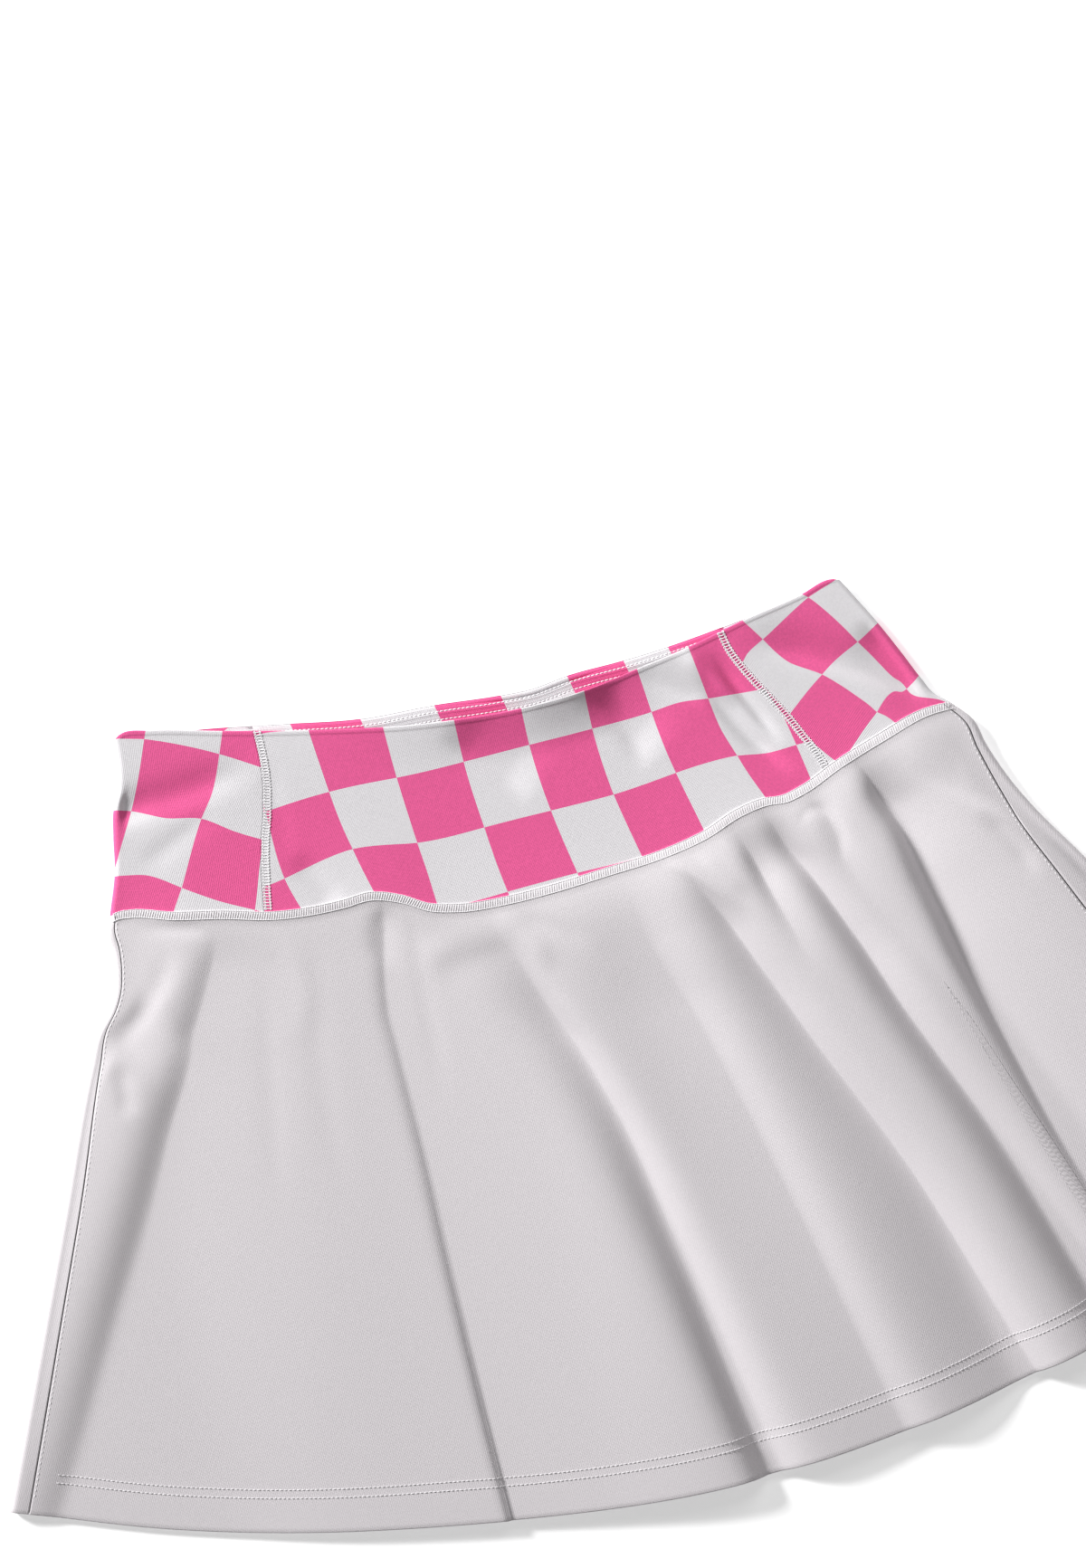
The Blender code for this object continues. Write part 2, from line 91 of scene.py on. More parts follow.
# Each edge that runs across the garment: (across, up)
FRONT_WAIST = (
    (-177, 4.0), (-172, 5.8), (-160, 4.0), (-125, -5.0), (-86, -14.3), (-36, -24.0), (14, -28.5),
    (44, -27.7), (72, -23.5), (98, -19.3), (125, -13.5), (155, -8.2), (170, -4.6), (174.5, -5.5),
)
BACK_WAIST = (
    (-177, 3.0), (-137, -1.4), (-100, -8.0), (-61, -15.0), (-27, -17.0), (6, -20.2), (20, -20.8),
    (38, -18.8), (66, -18.2), (88, -17.0), (118, -13.9), (174.5, -6.5),
)
FRONT_SEAM = (
    (-199, -76.8), (-194, -75.6), (-188, -76.1), (-169, -81.8), (-147, -86.7), (-122, -93.3),
    (-105, -95.3), (-90, -95.7), (-76, -95.3), (-62, -100.4), (-52, -106.5), (-40, -110.2),
    (-14, -112.7), (5, -112.6), (33, -111.1), (63, -109.0), (83, -105.2), (100, -99.2),
    (114, -97.1), (122.5, -97.9), (133, -95.6), (151, -88.3), (174, -80.8), (197, -74.5),
    (211, -74.2),
)
BACK_SEAM = (
    (-199, -76.8), (-130, -97.0), (-60, -109.5), (5, -113.5), (75, -108.5), (145, -94.0),
    (211, -74.2),
)
FRONT_HEM = (
    (-313, -338.0), (-240, -365.0), (-110, -395.0), (17, -408.0), (150, -396.0), (275, -363.0),
    (343, -334.0),
)
BACK_HEM = (
    (-313, -338.0), (-240, -363.5), (-110, -392.0), (17, -404.5), (150, -392.5), (275, -361.0),
    (343, -334.0),
)

# How far the front waist stands up from the yoke's face: (across, lift)
WAIST_LIFT = (
    (0, 0), (0.3, 0.4), (0.38, 1.8), (0.44, 3.6), (0.52, 3.8), (0.57, 6.0), (0.625, 6.2), (0.67, 2.6),
    (0.72, 1.0), (0.8, 0.6), (0.9, 0.3), (1, 0),
)
WAIST_LIFT_DEPTH = 25.0  # it is gone this far below the waist

# How far each side lies inside the straight line between its corners: (down, inset)
YOKE_LEFT_INSET = ((0, 0), (0.2, 2.6), (0.3, 2.4), (0.4, 0.6), (0.55, 0.8), (0.75, 1.9), (1, 0))
YOKE_RIGHT_INSET = ((0, 0), (0.35, 0.3), (0.6, 1.6), (0.8, 3.0), (0.93, 3.0), (1, 0))
SKIRT_LEFT_INSET = (
    (0, 0), (0.03, 0.5), (0.064, 4.6), (0.104, 7.8), (0.146, 9.0), (0.17, 7.8), (0.2, 4.2),
    (0.256, 2.9), (0.5, 2.0), (1, 0),
)
SKIRT_RIGHT_INSET = (
    (0, 0), (0.04, -3.2), (0.09, 0.0), (0.168, 2.8), (0.22, 2.9), (0.33, 0.0), (0.6, -2.5), (1, 0),
)
# How far the back skirt comes round to the front: (down, width on the front)
LEFT_TURN = ((0, 3.8), (0.17, 4.0), (0.27, 5.8), (0.37, 7.2), (0.7, 8.5), (1, 9.0))
RIGHT_TURN = ((0, 3.8), (0.07, 4.4), (0.18, 7.5), (0.25, 11.6), (0.38, 16.5), (0.7, 19.0), (1, 20.0))

# The height of the pipes' crowns at the hem: (across, height)
CROWNS = (
    (0, 6.0), (0.02, 7.0), (0.045, 8.0), (0.1, 8.6), (0.2, 8.2), (0.3, 7.6), (0.42, 9.2), (0.5, 12.5),
    (0.56, 12.5), (0.64, 14.5), (0.74, 14.0), (0.83, 14.0), (0.9, 13.5), (0.94, 14.0), (0.965, 13.0),
    (1, 6.0),
)
CROWN_GROWTH = ((0, 0), (0.05, 0.42), (0.14, 0.72), (0.3, 0.88), (0.6, 1.0), (1, 1.0))

# The valleys between the pipes: their path across at each of PATH_DOWN, their (depth, left flank,
# right flank) in millimetres at the top and at the hem, the fractions down between which they grow
# to that, and where they are gone (more than 1 if they run to the hem).
# "crisp" is 1 for a sharp bottom and 2 for a soft one.
PATH_DOWN = (0.0, 0.06, 0.15, 0.24, 0.36, 0.6, 1.0)
VALLEYS = {
    "left side": {
        "across": (0.130, 0.117, 0.099, 0.099, 0.086, 0.070, 0.056),
        "top": (0.9, 6, 28), "hem": (10.0, 18, 95), "grows": (0.0, 0.10), "gone": 9.0, "crisp": 1.6},
    "left plane": {
        "across": (0.315, 0.306, 0.297, 0.306, 0.3165, 0.330, 0.350),
        "top": (1.2, 4.0, 30), "hem": (2.4, 1.2, 60), "grows": (0.0, 0.07), "gone": 9.0, "crisp": 1.4},
    "centre": {
        "across": (0.400, 0.428, 0.453, 0.478, 0.499, 0.520, 0.540),
        "top": (5.6, 15, 4.5), "hem": (11.0, 7, 12), "grows": (0.03, 0.25), "gone": 9.0, "crisp": 1.6},
    "soft centre": {
        "across": (0.575, 0.580, 0.588, 0.602, 0.612, 0.625, 0.640),
        "top": (4.4, 42, 10.5), "hem": (6.0, 42, 11.5), "grows": (0.0, 0.25), "gone": 9.0, "crisp": 1.6},
    "right of centre": {
        "across": (0.640, 0.653, 0.673, 0.685, 0.697, 0.722, 0.740),
        "top": (5.0, 4.5, 7), "hem": (13.0, 33, 8), "grows": (0.02, 0.17), "gone": 9.0, "crisp": 1.4},
    "right short": {
        "across": (0.708, 0.720, 0.727, 0.731, 0.730, 0.735, 0.750),
        "top": (6.8, 4.2, 13), "hem": (4.5, 6, 6), "grows": (0.0, 0.12), "gone": 0.3, "crisp": 1.6},
    "right inner": {
        "across": (0.752, 0.757, 0.774, 0.782, 0.785, 0.798, 0.810),
        "top": (7.4, 6.5, 10), "hem": (12.0, 10.5, 11), "grows": (0.0, 0.12), "gone": 9.0, "crisp": 1.5},
    "right wide": {
        "across": (0.815, 0.815, 0.812, 0.818, 0.828, 0.834, 0.840),
        "top": (0.8, 4, 4), "hem": (7.0, 22, 22), "grows": (0.0, 0.05), "gone": 9.0, "crisp": 1.8},
    "right outer": {
        "across": (0.869, 0.871, 0.878, 0.870, 0.8565, 0.8465, 0.850),
        "top": (9.2, 4.6, 12), "hem": (12.0, 4.2, 42), "grows": (0.0, 0.12), "gone": 9.0, "crisp": 1.25},
}
# Two more lines that the cloth's columns follow, from where the yoke's panel seams end
LINE_FROM_LEFT_SEAM = (0.1755, 0.177, 0.179, 0.181, 0.183, 0.187, 0.195)
LINE_FROM_RIGHT_SEAM = (0.846, 0.844, 0.840, 0.836, 0.830, 0.826, 0.832)

# Small creases, in drawing millimetres: the path (from, by way of, to), the depth (minus for a
# ridge) and the two half widths, on the left and on the right of a path that runs up or down, or
# below and above one that runs to the right
CREASE_FADE = (-0.15, 0.3)  # the fractions along a crease over which it sets in, and dies away too
CREASE_EDGE = 7.0  # the yoke's creases are whole from this far in
YOKE_CREASES = (
    ((-200, -29), (-163, -29), (-122, -25), 1.7, 7, 8),
    ((-198, -31), (-186, -31), (-168, -29), 0.9, 6, 6),
    ((-178, -58), (-158, -49), (-141, -42), 0.6, 6, 5),
    ((-109, -28), (-110, -45), (-109, -66), 0.35, 5, 5),
    ((-106, -72), (-99, -85), (-93, -98), 1.0, 7, 6),
    ((-22, -34), (-6, -50), (6, -66), 1.8, 6, 18),
    ((44, -28), (58, -45), (65, -64), 2.4, 6, 18),
    ((70, -24), (84, -36), (101, -46), 0.9, 4, 7),
    ((94, -18), (102, -34), (110, -50), -2.0, 5, 4),
    ((100, -34), (110, -58), (127, -84), 3.0, 4, 4),
    ((108, -28), (116, -46), (127, -70), 2.2, 2.6, 3),
    ((132, -26), (165, -44), (196, -64), 2.4, 5, 10),
    ((183, -30), (191, -46), (202, -66), 2.8, 10, 4),
)
SKIRT_CREASES = (
    ((-194, -85), (-177, -88), (-156, -94), 0.8, 4, 2.5),
    ((-176, -101), (-187, -116), (-208, -134), 1.0, 6, 5),
    ((-211, -147), (-212, -159), (-213, -170), 0.8, 4, 5),
    ((-217, -132), (-204, -129), (-191, -118), 2.0, 22, 6),
    ((-70, -104), (-77, -114), (-79, -129), 0.7, 5, 7),
    ((-61, -113), (-63, -145), (-66, -193), 0.35, 3, 3),
    ((-61, -136), (-40, -127), (-17, -132), -0.45, 7, 8),
    ((-56, -141), (-37, -139), (-16, -138), 0.4, 10, 6),
    ((-21, -120), (-12, -129), (-3, -149), -0.7, 5, 5),
    ((-14, -125), (-1, -130), (16, -143), 0.5, 6, 5),
    ((60, -114), (73, -124), (90, -145), -0.8, 3, 3),
    ((79, -117), (85, -125), (94, -137), -0.6, 2.5, 2.5),
    ((128, -112), (133, -108), (141, -110), 0.5, 2.5, 2.5),
    ((134, -104), (143, -114), (144, -132), 0.5, 3, 3),
    ((190, -102), (205, -115), (223, -128), 0.45, 2.5, 2.5),
    ((213, -131), (223, -146), (230, -160), 0.9, 4, 4),
    ((192, -86), (202, -95), (208, -111), 0.5, 5, 5),
    ((-134, -122), (-143, -165), (-153, -223), 0.25, 6, 6),
    ((-109, -119), (-119, -168), (-122, -227), 0.25, 6, 6),
    ((-123, -104), (-117, -119), (-123, -153), -0.3, 6, 6),
)

# ---------------------------------------------------------------- curves and places


def curve(rows):
    """A smooth curve through rows of (place, value), as a function of the place."""
    places, values = np.array(rows, float).T
    steps = np.diff(places)
    rises = np.diff(values) / steps
    slopes = np.concatenate([rises[:1], np.zeros(len(steps) - 1), rises[-1:]])
    slopes[1:-1] = (rises[:-1] * steps[1:] + rises[1:] * steps[:-1]) / (steps[1:] + steps[:-1])

    def value(place):
        place = np.clip(place, places[0], places[-1])
        before = np.clip(np.searchsorted(places, place, side="right") - 1, 0, len(steps) - 1)
        step = steps[before]
        t = (place - places[before]) / step
        ends = (1 + 2 * t) * (1 - t) ** 2 * values[before] + (3 - 2 * t) * t**2 * values[before + 1]
        bend = t * (1 - t) ** 2 * slopes[before] - t**2 * (1 - t) * slopes[before + 1]
        return ends + step * bend

    return value


def blend(first, last, share):
    return first + (last - first) * share


def ramp(value, start, full):
    """0 up to start, 1 from full, and smooth between them."""
    t = np.clip((value - start) / (full - start), 0, 1)
    return t * t * (3 - 2 * t)


def layer(top_ends, bottom_ends, top_edge, bottom_edge, left_inset, right_inset):
    """A function that gives the place (x, y) at a fraction across and a fraction down one layer."""
    top_edge, bottom_edge = curve(top_edge), curve(bottom_edge)
    left_inset, right_inset = curve(left_inset), curve(right_inset)

    def place(across, down):
        top_x = blend(*top_ends, across)
        bottom_x = blend(*bottom_ends, across)
        inset = left_inset(down) * (1 - across) ** 3 - right_inset(down) * across**3
        x = blend(top_x, bottom_x, down) + inset
        return x, blend(top_edge(top_x), bottom_edge(bottom_x), down)

    def width(down):
        return place(1.0, down)[0] - place(0.0, down)[0]

    return place, width


YOKE_INSETS = (YOKE_LEFT_INSET, YOKE_RIGHT_INSET)
SKIRT_INSETS = (SKIRT_LEFT_INSET, SKIRT_RIGHT_INSET)
front_yoke_place, yoke_width = layer(WAIST_ENDS, SEAM_ENDS, FRONT_WAIST, FRONT_SEAM, *YOKE_INSETS)
back_yoke_place, _ = layer(WAIST_ENDS, SEAM_ENDS, BACK_WAIST, BACK_SEAM, *YOKE_INSETS)
front_skirt_place, skirt_width = layer(SEAM_ENDS, HEM_ENDS, FRONT_SEAM, FRONT_HEM, *SKIRT_INSETS)
back_skirt_place, _ = layer(SEAM_ENDS, HEM_ENDS, BACK_SEAM, BACK_HEM, *SKIRT_INSETS)

left_panel_seam = curve(LEFT_PANEL_SEAM)
right_panel_seam = curve(RIGHT_PANEL_SEAM)
facing_drop = curve(FACING_DROP)
waist_lift = curve(WAIST_LIFT)
crown_height = curve(CROWNS)
crown_growth = curve(CROWN_GROWTH)
left_turn = curve(LEFT_TURN)
right_turn = curve(RIGHT_TURN)


def path_curve(across):
    return curve(tuple(zip(PATH_DOWN, across)))


valley_paths = [path_curve(valley["across"]) for valley in VALLEYS.values()]
line_from_left_seam = path_curve(LINE_FROM_LEFT_SEAM)
line_from_right_seam = path_curve(LINE_FROM_RIGHT_SEAM)


def crease_depth(x, y, creases):
    """How far small creases lower the cloth at a place."""
    depth = np.zeros(np.broadcast(x, y).shape)
    for *path, deep, left, right in creases:
        start, bend, end = np.array(path, float)
        chord = end - start
        length = math.hypot(*chord)
        along = chord / length
        aside = np.array([along[1], -along[0]])
        t = ((x - start[0]) * along[0] + (y - start[1]) * along[1]) / length
        bow = (bend - start) @ aside * 4
        off = (x - start[0]) * aside[0] + (y - start[1]) * aside[1] - bow * t * (1 - t)
        width = np.where(off < 0, right, left)
        ends = ramp(t, *CREASE_FADE) * ramp(1 - t, *CREASE_FADE)
        depth = depth + deep * ends * np.exp(-((off / width) ** 2))
    return depth


def rise_from_side(height, across, width, inwards):
    """A height that starts from the fold at either side and is all there this far in from it."""
    side = np.minimum(across, 1 - across) * width
    return blend(SIDE_HEIGHT, height, ramp(side, SIDE_HEIGHT / 2, inwards))


def band_rise(below):
    """How far the band along the yoke's lower seam stands up, at a distance below the seam."""
    upper, lower = (ramp(below - edge, *slope) for edge, slope in zip((0, BAND_WIDTH), BAND_SLOPES))
    return BAND_RISE * upper * (1 - lower)


def waist_bead(down):
    """1 in the rolled edge of the waist, 0 below it."""
    return np.exp(-(((down * YOKE_LENGTH - WAIST_BEAD_HALF) / WAIST_BEAD_HALF) ** 4))


def kept_clear(height):
    """A height that eases to the least that clears the cloth below."""
    return LEAST_TOP + np.logaddexp(0, FLOOR_EASE * (height - LEAST_TOP)) / FLOOR_EASE


def yoke_top(across, down):
    """The height of the front yoke's upper face."""
    width = yoke_width(down)
    fallen = ramp(down * YOKE_LENGTH, -WAIST_LIFT_DEPTH, WAIST_LIFT_DEPTH)  # a half at the waist
    height = blend(YOKE_TOP, SEAM_TOP, down**3) + waist_lift(across) * (1 - fallen) * 2
    height = rise_from_side(height, across, width, YOKE_SIDE_SLOPE)
    inwards = np.minimum(across, 1 - across) * width
    creases = crease_depth(*front_yoke_place(across, down), YOKE_CREASES)
    height = kept_clear(height - creases * ramp(inwards, SIDE_HEIGHT / 2, CREASE_EDGE))
    return height + band_rise((down - 1) * YOKE_LENGTH) + WAIST_BEAD_RISE * waist_bead(down)


def skirt_top(across, down):
    """The height of the front skirt's upper face: pipes, less the valleys between them."""
    width = skirt_width(down)
    height = blend(SEAM_TOP, crown_height(across), crown_growth(down))
    for valley, path in zip(VALLEYS.values(), valley_paths):
        off = (across - path(down)) * width
        depth, left, right = (blend(*ends, down) for ends in zip(valley["top"], valley["hem"]))
        flank = np.abs(off) / np.where(off < 0, left, right)
        depth = depth * ramp(down, *valley["grows"]) * (1 - ramp(down, 0.0, valley["gone"]))
        height = height - depth * np.exp(-(flank ** valley["crisp"]))
    height = kept_clear(height - crease_depth(*front_skirt_place(across, down), SKIRT_CREASES))
    slope = blend(YOKE_SIDE_SLOPE, SKIRT_SIDE_SLOPE, ramp(down, *SIDE_SLOPE_CHANGE))
    return rise_from_side(height, across, width, slope) + band_rise(down * SKIRT_LENGTH)


def to_frame(x, y, z):
    """Places in drawing millimetres, as points in the frame."""
    x, y, z = np.broadcast_arrays(x, y, z)
    return np.stack([x + WAIST_PLACE[0], y + WAIST_PLACE[1], z], axis=-1) * MM


# ---------------------------------------------------------------- shader nodes


def add_node(tree, kind, settings, sockets):
    """A node with its settings, and its sockets' values or links by name, or by number as i0, i1."""
    node = tree.nodes.new(kind)
    for name, value in dict(settings).items():
        setattr(node, name, value)
    for name, value in sockets.items():
        key = int(name[1:]) if name[1:].isdigit() else name.replace("_", " ")
        feed(tree, node.inputs[key], value)
    return node


def feed(tree, socket, value):
    """Give a socket a value, or link another socket to it."""
    if isinstance(value, Maths):
        value = value.socket
    if isinstance(value, bpy.types.NodeSocket):
        tree.links.new(value, socket)
    else:
        socket.default_value = value


class Maths:
    """A number socket that takes part in Python expressions."""

    def __init__(self, nodes, socket):
        self.nodes, self.socket = nodes, socket

    def __add__(self, other):
        return self.nodes.number("ADD", self, other)

    def __sub__(self, other):
        return self.nodes.number("SUBTRACT", self, other)

    def __mul__(self, other):
        return self.nodes.number("MULTIPLY", self, other)

    def __truediv__(self, other):
        return self.nodes.number("DIVIDE", self, other)

    def __mod__(self, other):
        return self.nodes.number("FLOORED_MODULO", self, other)


class Nodes:
    """The node tree of one material."""

    def __init__(self, name, roughness, sheen=0.0):
        self.material = bpy.data.materials.new(name)
        self.material.use_nodes = True
        self.tree = self.material.node_tree
        self.shader = self.tree.nodes["Principled BSDF"]
        self.surface(Roughness=roughness, Specular_IOR_Level=0.25, Sheen_Weight=sheen, Sheen_Roughness=0.4)

    def surface(self, **sockets):
        """Values or links for the surface's own sockets."""
        for name, value in sockets.items():
            feed(self.tree, self.shader.inputs[name.replace("_", " ")], value)

    def add(self, kind, settings=(), **sockets):
        return add_node(self.tree, kind, settings, sockets)

    def number(self, operation, *values):
        sockets = {f"i{index}": value for index, value in enumerate(values)}
        return Maths(self, self.add("ShaderNodeMath", {"operation": operation}, **sockets).outputs[0])

    def mix(self, share, first, last, blend_type="MIX"):
        """A colour between two others, or another blend of them."""
        settings = {"data_type": "RGBA", "blend_type": blend_type}
        return self.add("ShaderNodeMix", settings, i0=share, i6=first, i7=last).outputs[2]

    def noise(self, scale, detail=2.0, roughness=0.5):
        """Noise on the object's own coordinates, which are in metres."""
        place = self.add("ShaderNodeTexCoord").outputs["Object"]
        node = self.add("ShaderNodeTexNoise", Vector=place, Scale=scale, Detail=detail,
                        Roughness=roughness)
        return Maths(self, node.outputs[0])

    def ease(self, value, low, high):
        """0 up to low, 1 from high, and smooth between them."""
        settings = {"interpolation_type": "SMOOTHSTEP"}
        return Maths(self, self.add("ShaderNodeMapRange", settings, i0=value, i1=low, i2=high).outputs[0])

    def uv(self):
        """The cloth's own two coordinates."""
        coordinates = self.add("ShaderNodeTexCoord").outputs["UV"]
        split = self.add("ShaderNodeSeparateXYZ", Vector=coordinates)
        return Maths(self, split.outputs[0]), Maths(self, split.outputs[1])

    def bump(self, height, distance):
        self.surface(Normal=self.add("ShaderNodeBump", Height=height, Distance=distance).outputs[0])


def linear(red, green, blue):
    """A colour given in the usual 0 to 255, as a shader colour."""
    shares = [value / 255 for value in (red, green, blue)]
    return (*[s / 12.92 if s <= 0.04045 else ((s + 0.055) / 1.055) ** 2.4 for s in shares], 1.0)


def darker(colour, share):
    return (*[channel * share for channel in colour[:3]], 1.0)


WALE = 0.85 * MM  # between one column of knit stitches and the next
COURSE = 0.6 * MM  # and between one row of them and the next
FUZZ_SHARE = 0.8  # how much the cloth's fuzz adds to the height of its knit
WHITE = (1.0, 1.0, 1.0, 1.0)
PINK, PALE = linear(230, 92, 150), linear(217, 214, 217)
SKIRT_GREY, THREAD_WHITE = linear(215, 210, 213), linear(244, 242, 244)


def knit_height(nodes, u, v):
    """The surface of a fine jersey: columns of small V shaped stitches. u and v are in metres."""
    column = u / WALE
    groove = nodes.number("ABSOLUTE", nodes.number("SINE", column * math.pi))
    slant = nodes.number("ABSOLUTE", (column % 1.0) * 2.0 - 1.0)
    row = nodes.number("SINE", (v / COURSE + slant * 0.5) * (2 * math.pi))
    return groove * 0.6 + row * 0.2


def checked_knit(name, pink, pale):
    """The yoke's cloth. Its UV map counts checks, so a check is one unit of it each way."""
    nodes = Nodes(name, 0.72, sheen=0.15)
    i, j = nodes.uv()
    is_pink = (nodes.number("FLOOR", i) + nodes.number("FLOOR", j)) % 2.0
    fuzz = nodes.noise(900.0, 3.0, 0.7)
    cloudy = nodes.noise(60.0)
    tone = nodes.ease(fuzz, 0.3, 0.7)
    pinks = nodes.mix(tone, darker(pink, 0.86), pink)
    pales = nodes.mix(tone, darker(pale, 0.93), pale)
    shade = nodes.mix(cloudy, darker(WHITE, 0.97), WHITE)
    nodes.surface(Base_Color=nodes.mix(1.0, nodes.mix(is_pink, pales, pinks), shade, "MULTIPLY"))
    knit = knit_height(nodes, i * (CHECK_SIZE * MM), j * (CHECK_SIZE * MM))
    nodes.bump(knit + fuzz * FUZZ_SHARE, 0.12 * MM)
    return nodes.material


def plain_knit(name, colour):
    """The skirt's cloth. Its UV map is in metres along the cloth."""
    nodes = Nodes(name, 0.7, sheen=0.2)
    fuzz = nodes.noise(1100.0, 3.0, 0.7)
    nodes.surface(Base_Color=nodes.mix(nodes.ease(fuzz, 0.3, 0.7), darker(colour, 0.93), colour))
    nodes.bump(knit_height(nodes, *nodes.uv()) + fuzz * FUZZ_SHARE, 0.1 * MM)
    return nodes.material


def thread_material(name, colour):
    nodes = Nodes(name, 0.55, sheen=0.3)
    fuzz = nodes.noise(3500.0)
    nodes.surface(Base_Color=nodes.mix(fuzz, darker(colour, 0.85), colour))
    nodes.bump(fuzz, 0.05 * MM)
    return nodes.material


# ---------------------------------------------------------------- cloth meshes


# Fineness of the visible cloth: the spans of its grids across each panel, and its rows, which lie
# closer together over the first millimetres down a panel and over the last ones if that is given
FRONT_YOKE_COLUMNS = 200
SIDE_YOKE_COLUMNS, SIDE_YOKE_BACK_COLUMNS = 70, 16
COLUMNS_BETWEEN = (24, 16, 26, 24, 34, 20, 20, 20, 20, 10, 14, 30)  # the lines down the front skirt
COLUMNS_CROWD = 0.6  # how much they crowd towards those lines, from 0 to 1
BACK_COLUMNS = 60
TURN_COLUMNS, ROUND_COLUMNS, SIDE_RUN_COLUMNS = 10, 12, 6  # before, round and after a side's fold
SIDE_RUN = 24.0
FACING_COLUMNS, FACING_STEPS = 160, 63
YOKE_STEPS = {"crowded": 3.0, "fine": 10, "coarse": 60, "crowded_end": 3.0}
SKIRT_STEPS = {"crowded": 4.0, "fine": 8, "coarse": 150}
EDGE_BENDS = 3  # rows of points round the cloth's edge


def linked(name, data):
    """A new object in the scene."""
    item = bpy.data.objects.new(name, data)
    bpy.context.collection.objects.link(item)
    return item


def smooth_mesh(name, points, faces, material, uv=None):
    """An object with one smooth mesh. uv holds the two coordinates of each point."""
    mesh = bpy.data.meshes.new(name)
    mesh.from_pydata(points.tolist(), [], faces.tolist())
    mesh.materials.append(material)
    mesh.shade_smooth()
    if uv is not None:
        loops = np.empty(len(mesh.loops), np.int32)
        mesh.loops.foreach_get("vertex_index", loops)
        cloth_uv = mesh.uv_layers.new(name="cloth")
        cloth_uv.data.foreach_set("uv", uv[loops].astype(np.float32).ravel())
    return linked(name, mesh)


def cloth_of_rows(name, rows, material):
    """Cloth from its rows, each with the points of its outer and inner faces and its coordinates."""
    return cloth(name, *(np.array(grid) for grid in zip(*rows)), material)


def rounded_edge(outer, inner, beyond):
    """Rows of points round a cloth's thickness, from its outer face at an edge to its inner face."""
    middle, half = (outer + inner) / 2, (outer - inner) / 2
    radius = np.linalg.norm(half, axis=-1, keepdims=True)
    outwards = outer - beyond
    outwards /= np.linalg.norm(outwards, axis=-1, keepdims=True)
    angles = np.linspace(0, math.pi, EDGE_BENDS + 2)[1:-1]
    return [middle + half * math.cos(a) + outwards * radius * math.sin(a) for a in angles]


def cloth(name, outer, inner, uv, material):
    """A closed sheet of cloth between two grids, with round edges at its top and its bottom."""
    bottom = rounded_edge(outer[-1], inner[-1], outer[-2])
    top = rounded_edge(inner[0], outer[0], outer[1])
    loop = np.concatenate([outer, bottom, inner[::-1], top])
    uv_loop = np.concatenate([uv, [uv[-1]] * EDGE_BENDS, uv[::-1], [uv[0]] * EDGE_BENDS])
    rows, columns = loop.shape[:2]
    index = np.arange(rows * columns).reshape(rows, columns)
    following = np.roll(index, -1, axis=0)
    around = np.stack([index[:, :-1], following[:, :-1], following[:, 1:], index[:, 1:]], axis=-1)
    faces = [around.reshape(-1, 4)]
    for column, turned in ((0, False), (-1, True)):
        ring = index[:, column]
        half = len(outer) + EDGE_BENDS // 2
        first = np.roll(ring, EDGE_BENDS - EDGE_BENDS // 2)
        near, far = first[: half + 1], first[::-1][: half + 1]
        cap = np.stack([near[:-1], far[:-1], far[1:], near[1:]], axis=-1)
        faces.append(cap[:, ::-1] if turned else cap)
    faces = np.concatenate(faces)
    points = loop.reshape(-1, 3)
    a, b, c, d = (points[faces[:, corner]] for corner in range(4))
    if np.einsum("ij,ij->", a, np.cross(b, c) + np.cross(c, d)) < 0:
        faces = faces[:, ::-1]
    return smooth_mesh(name, points, faces, material, uv_loop.reshape(-1, 2))


def under(place, top, thick):
    """The inner face of cloth this thick whose outer face is a height over each place."""
    x, y = place
    rise_x = np.gradient(top, axis=1) / np.maximum(np.abs(np.gradient(x, axis=1)), 0.2)
    steep = np.minimum(np.sqrt(1 + rise_x**2), 1.6)
    return to_frame(x, y, top - thick * steep)


def crowded_rows(length, crowded, fine, coarse, crowded_end=0.0):
    """Fractions down a layer: fine steps over its first and last millimetres, coarse ones between."""
    first = np.linspace(0, crowded, fine + 1)[:-1]
    last = np.linspace(length - crowded_end, length, fine + 1)[1:] if crowded_end else []
    middle = np.linspace(crowded, length - crowded_end, coarse + 1)
    return np.concatenate([first, middle, last]) / length


def yoke_rows():
    return crowded_rows(YOKE_LENGTH, **YOKE_STEPS) * (1 - SEAM_GAP / 2 / YOKE_LENGTH)


def skirt_rows():
    return blend(SEAM_GAP / 2 / SKIRT_LENGTH, 1.0, crowded_rows(SKIRT_LENGTH, **SKIRT_STEPS))


def turn(width, on_front, back_in, columns_below, thick, top):
    """One row of cloth round a side, from the fractions on_front to back_in millimetres in below.

    It gives the fractions in from the side and the heights of the row's two faces, and the share of
    the back layer in each place.
    """
    radius = SIDE_HEIGHT / 2
    angles = np.linspace(math.pi / 2, -math.pi / 2, ROUND_COLUMNS + 1)
    below = np.linspace(radius, back_in, columns_below + 1)[1:] / width
    faces = []
    for bend, above in ((radius, 0.0), (radius - thick, thick)):
        inwards = np.concatenate([on_front, (radius - bend * np.cos(angles)) / width, below])
        round_side = radius + bend * np.sin(angles)
        height = [top(on_front) - above, round_side, np.full(columns_below, above)]
        faces.append((inwards, np.concatenate(height)))
    rounding = np.linspace(0, 1, ROUND_COLUMNS + 1)
    return faces, np.concatenate([np.zeros(len(on_front)), rounding, np.ones(columns_below)])


def between(front_place, back_place, across, down, share):
    """A place between the two layers, by the share of the back one."""
    x, front_y = front_place(across, down)
    return x, blend(front_y, back_place(across, down)[1], share)


# ---------------------------------------------------------------- the checks' layout

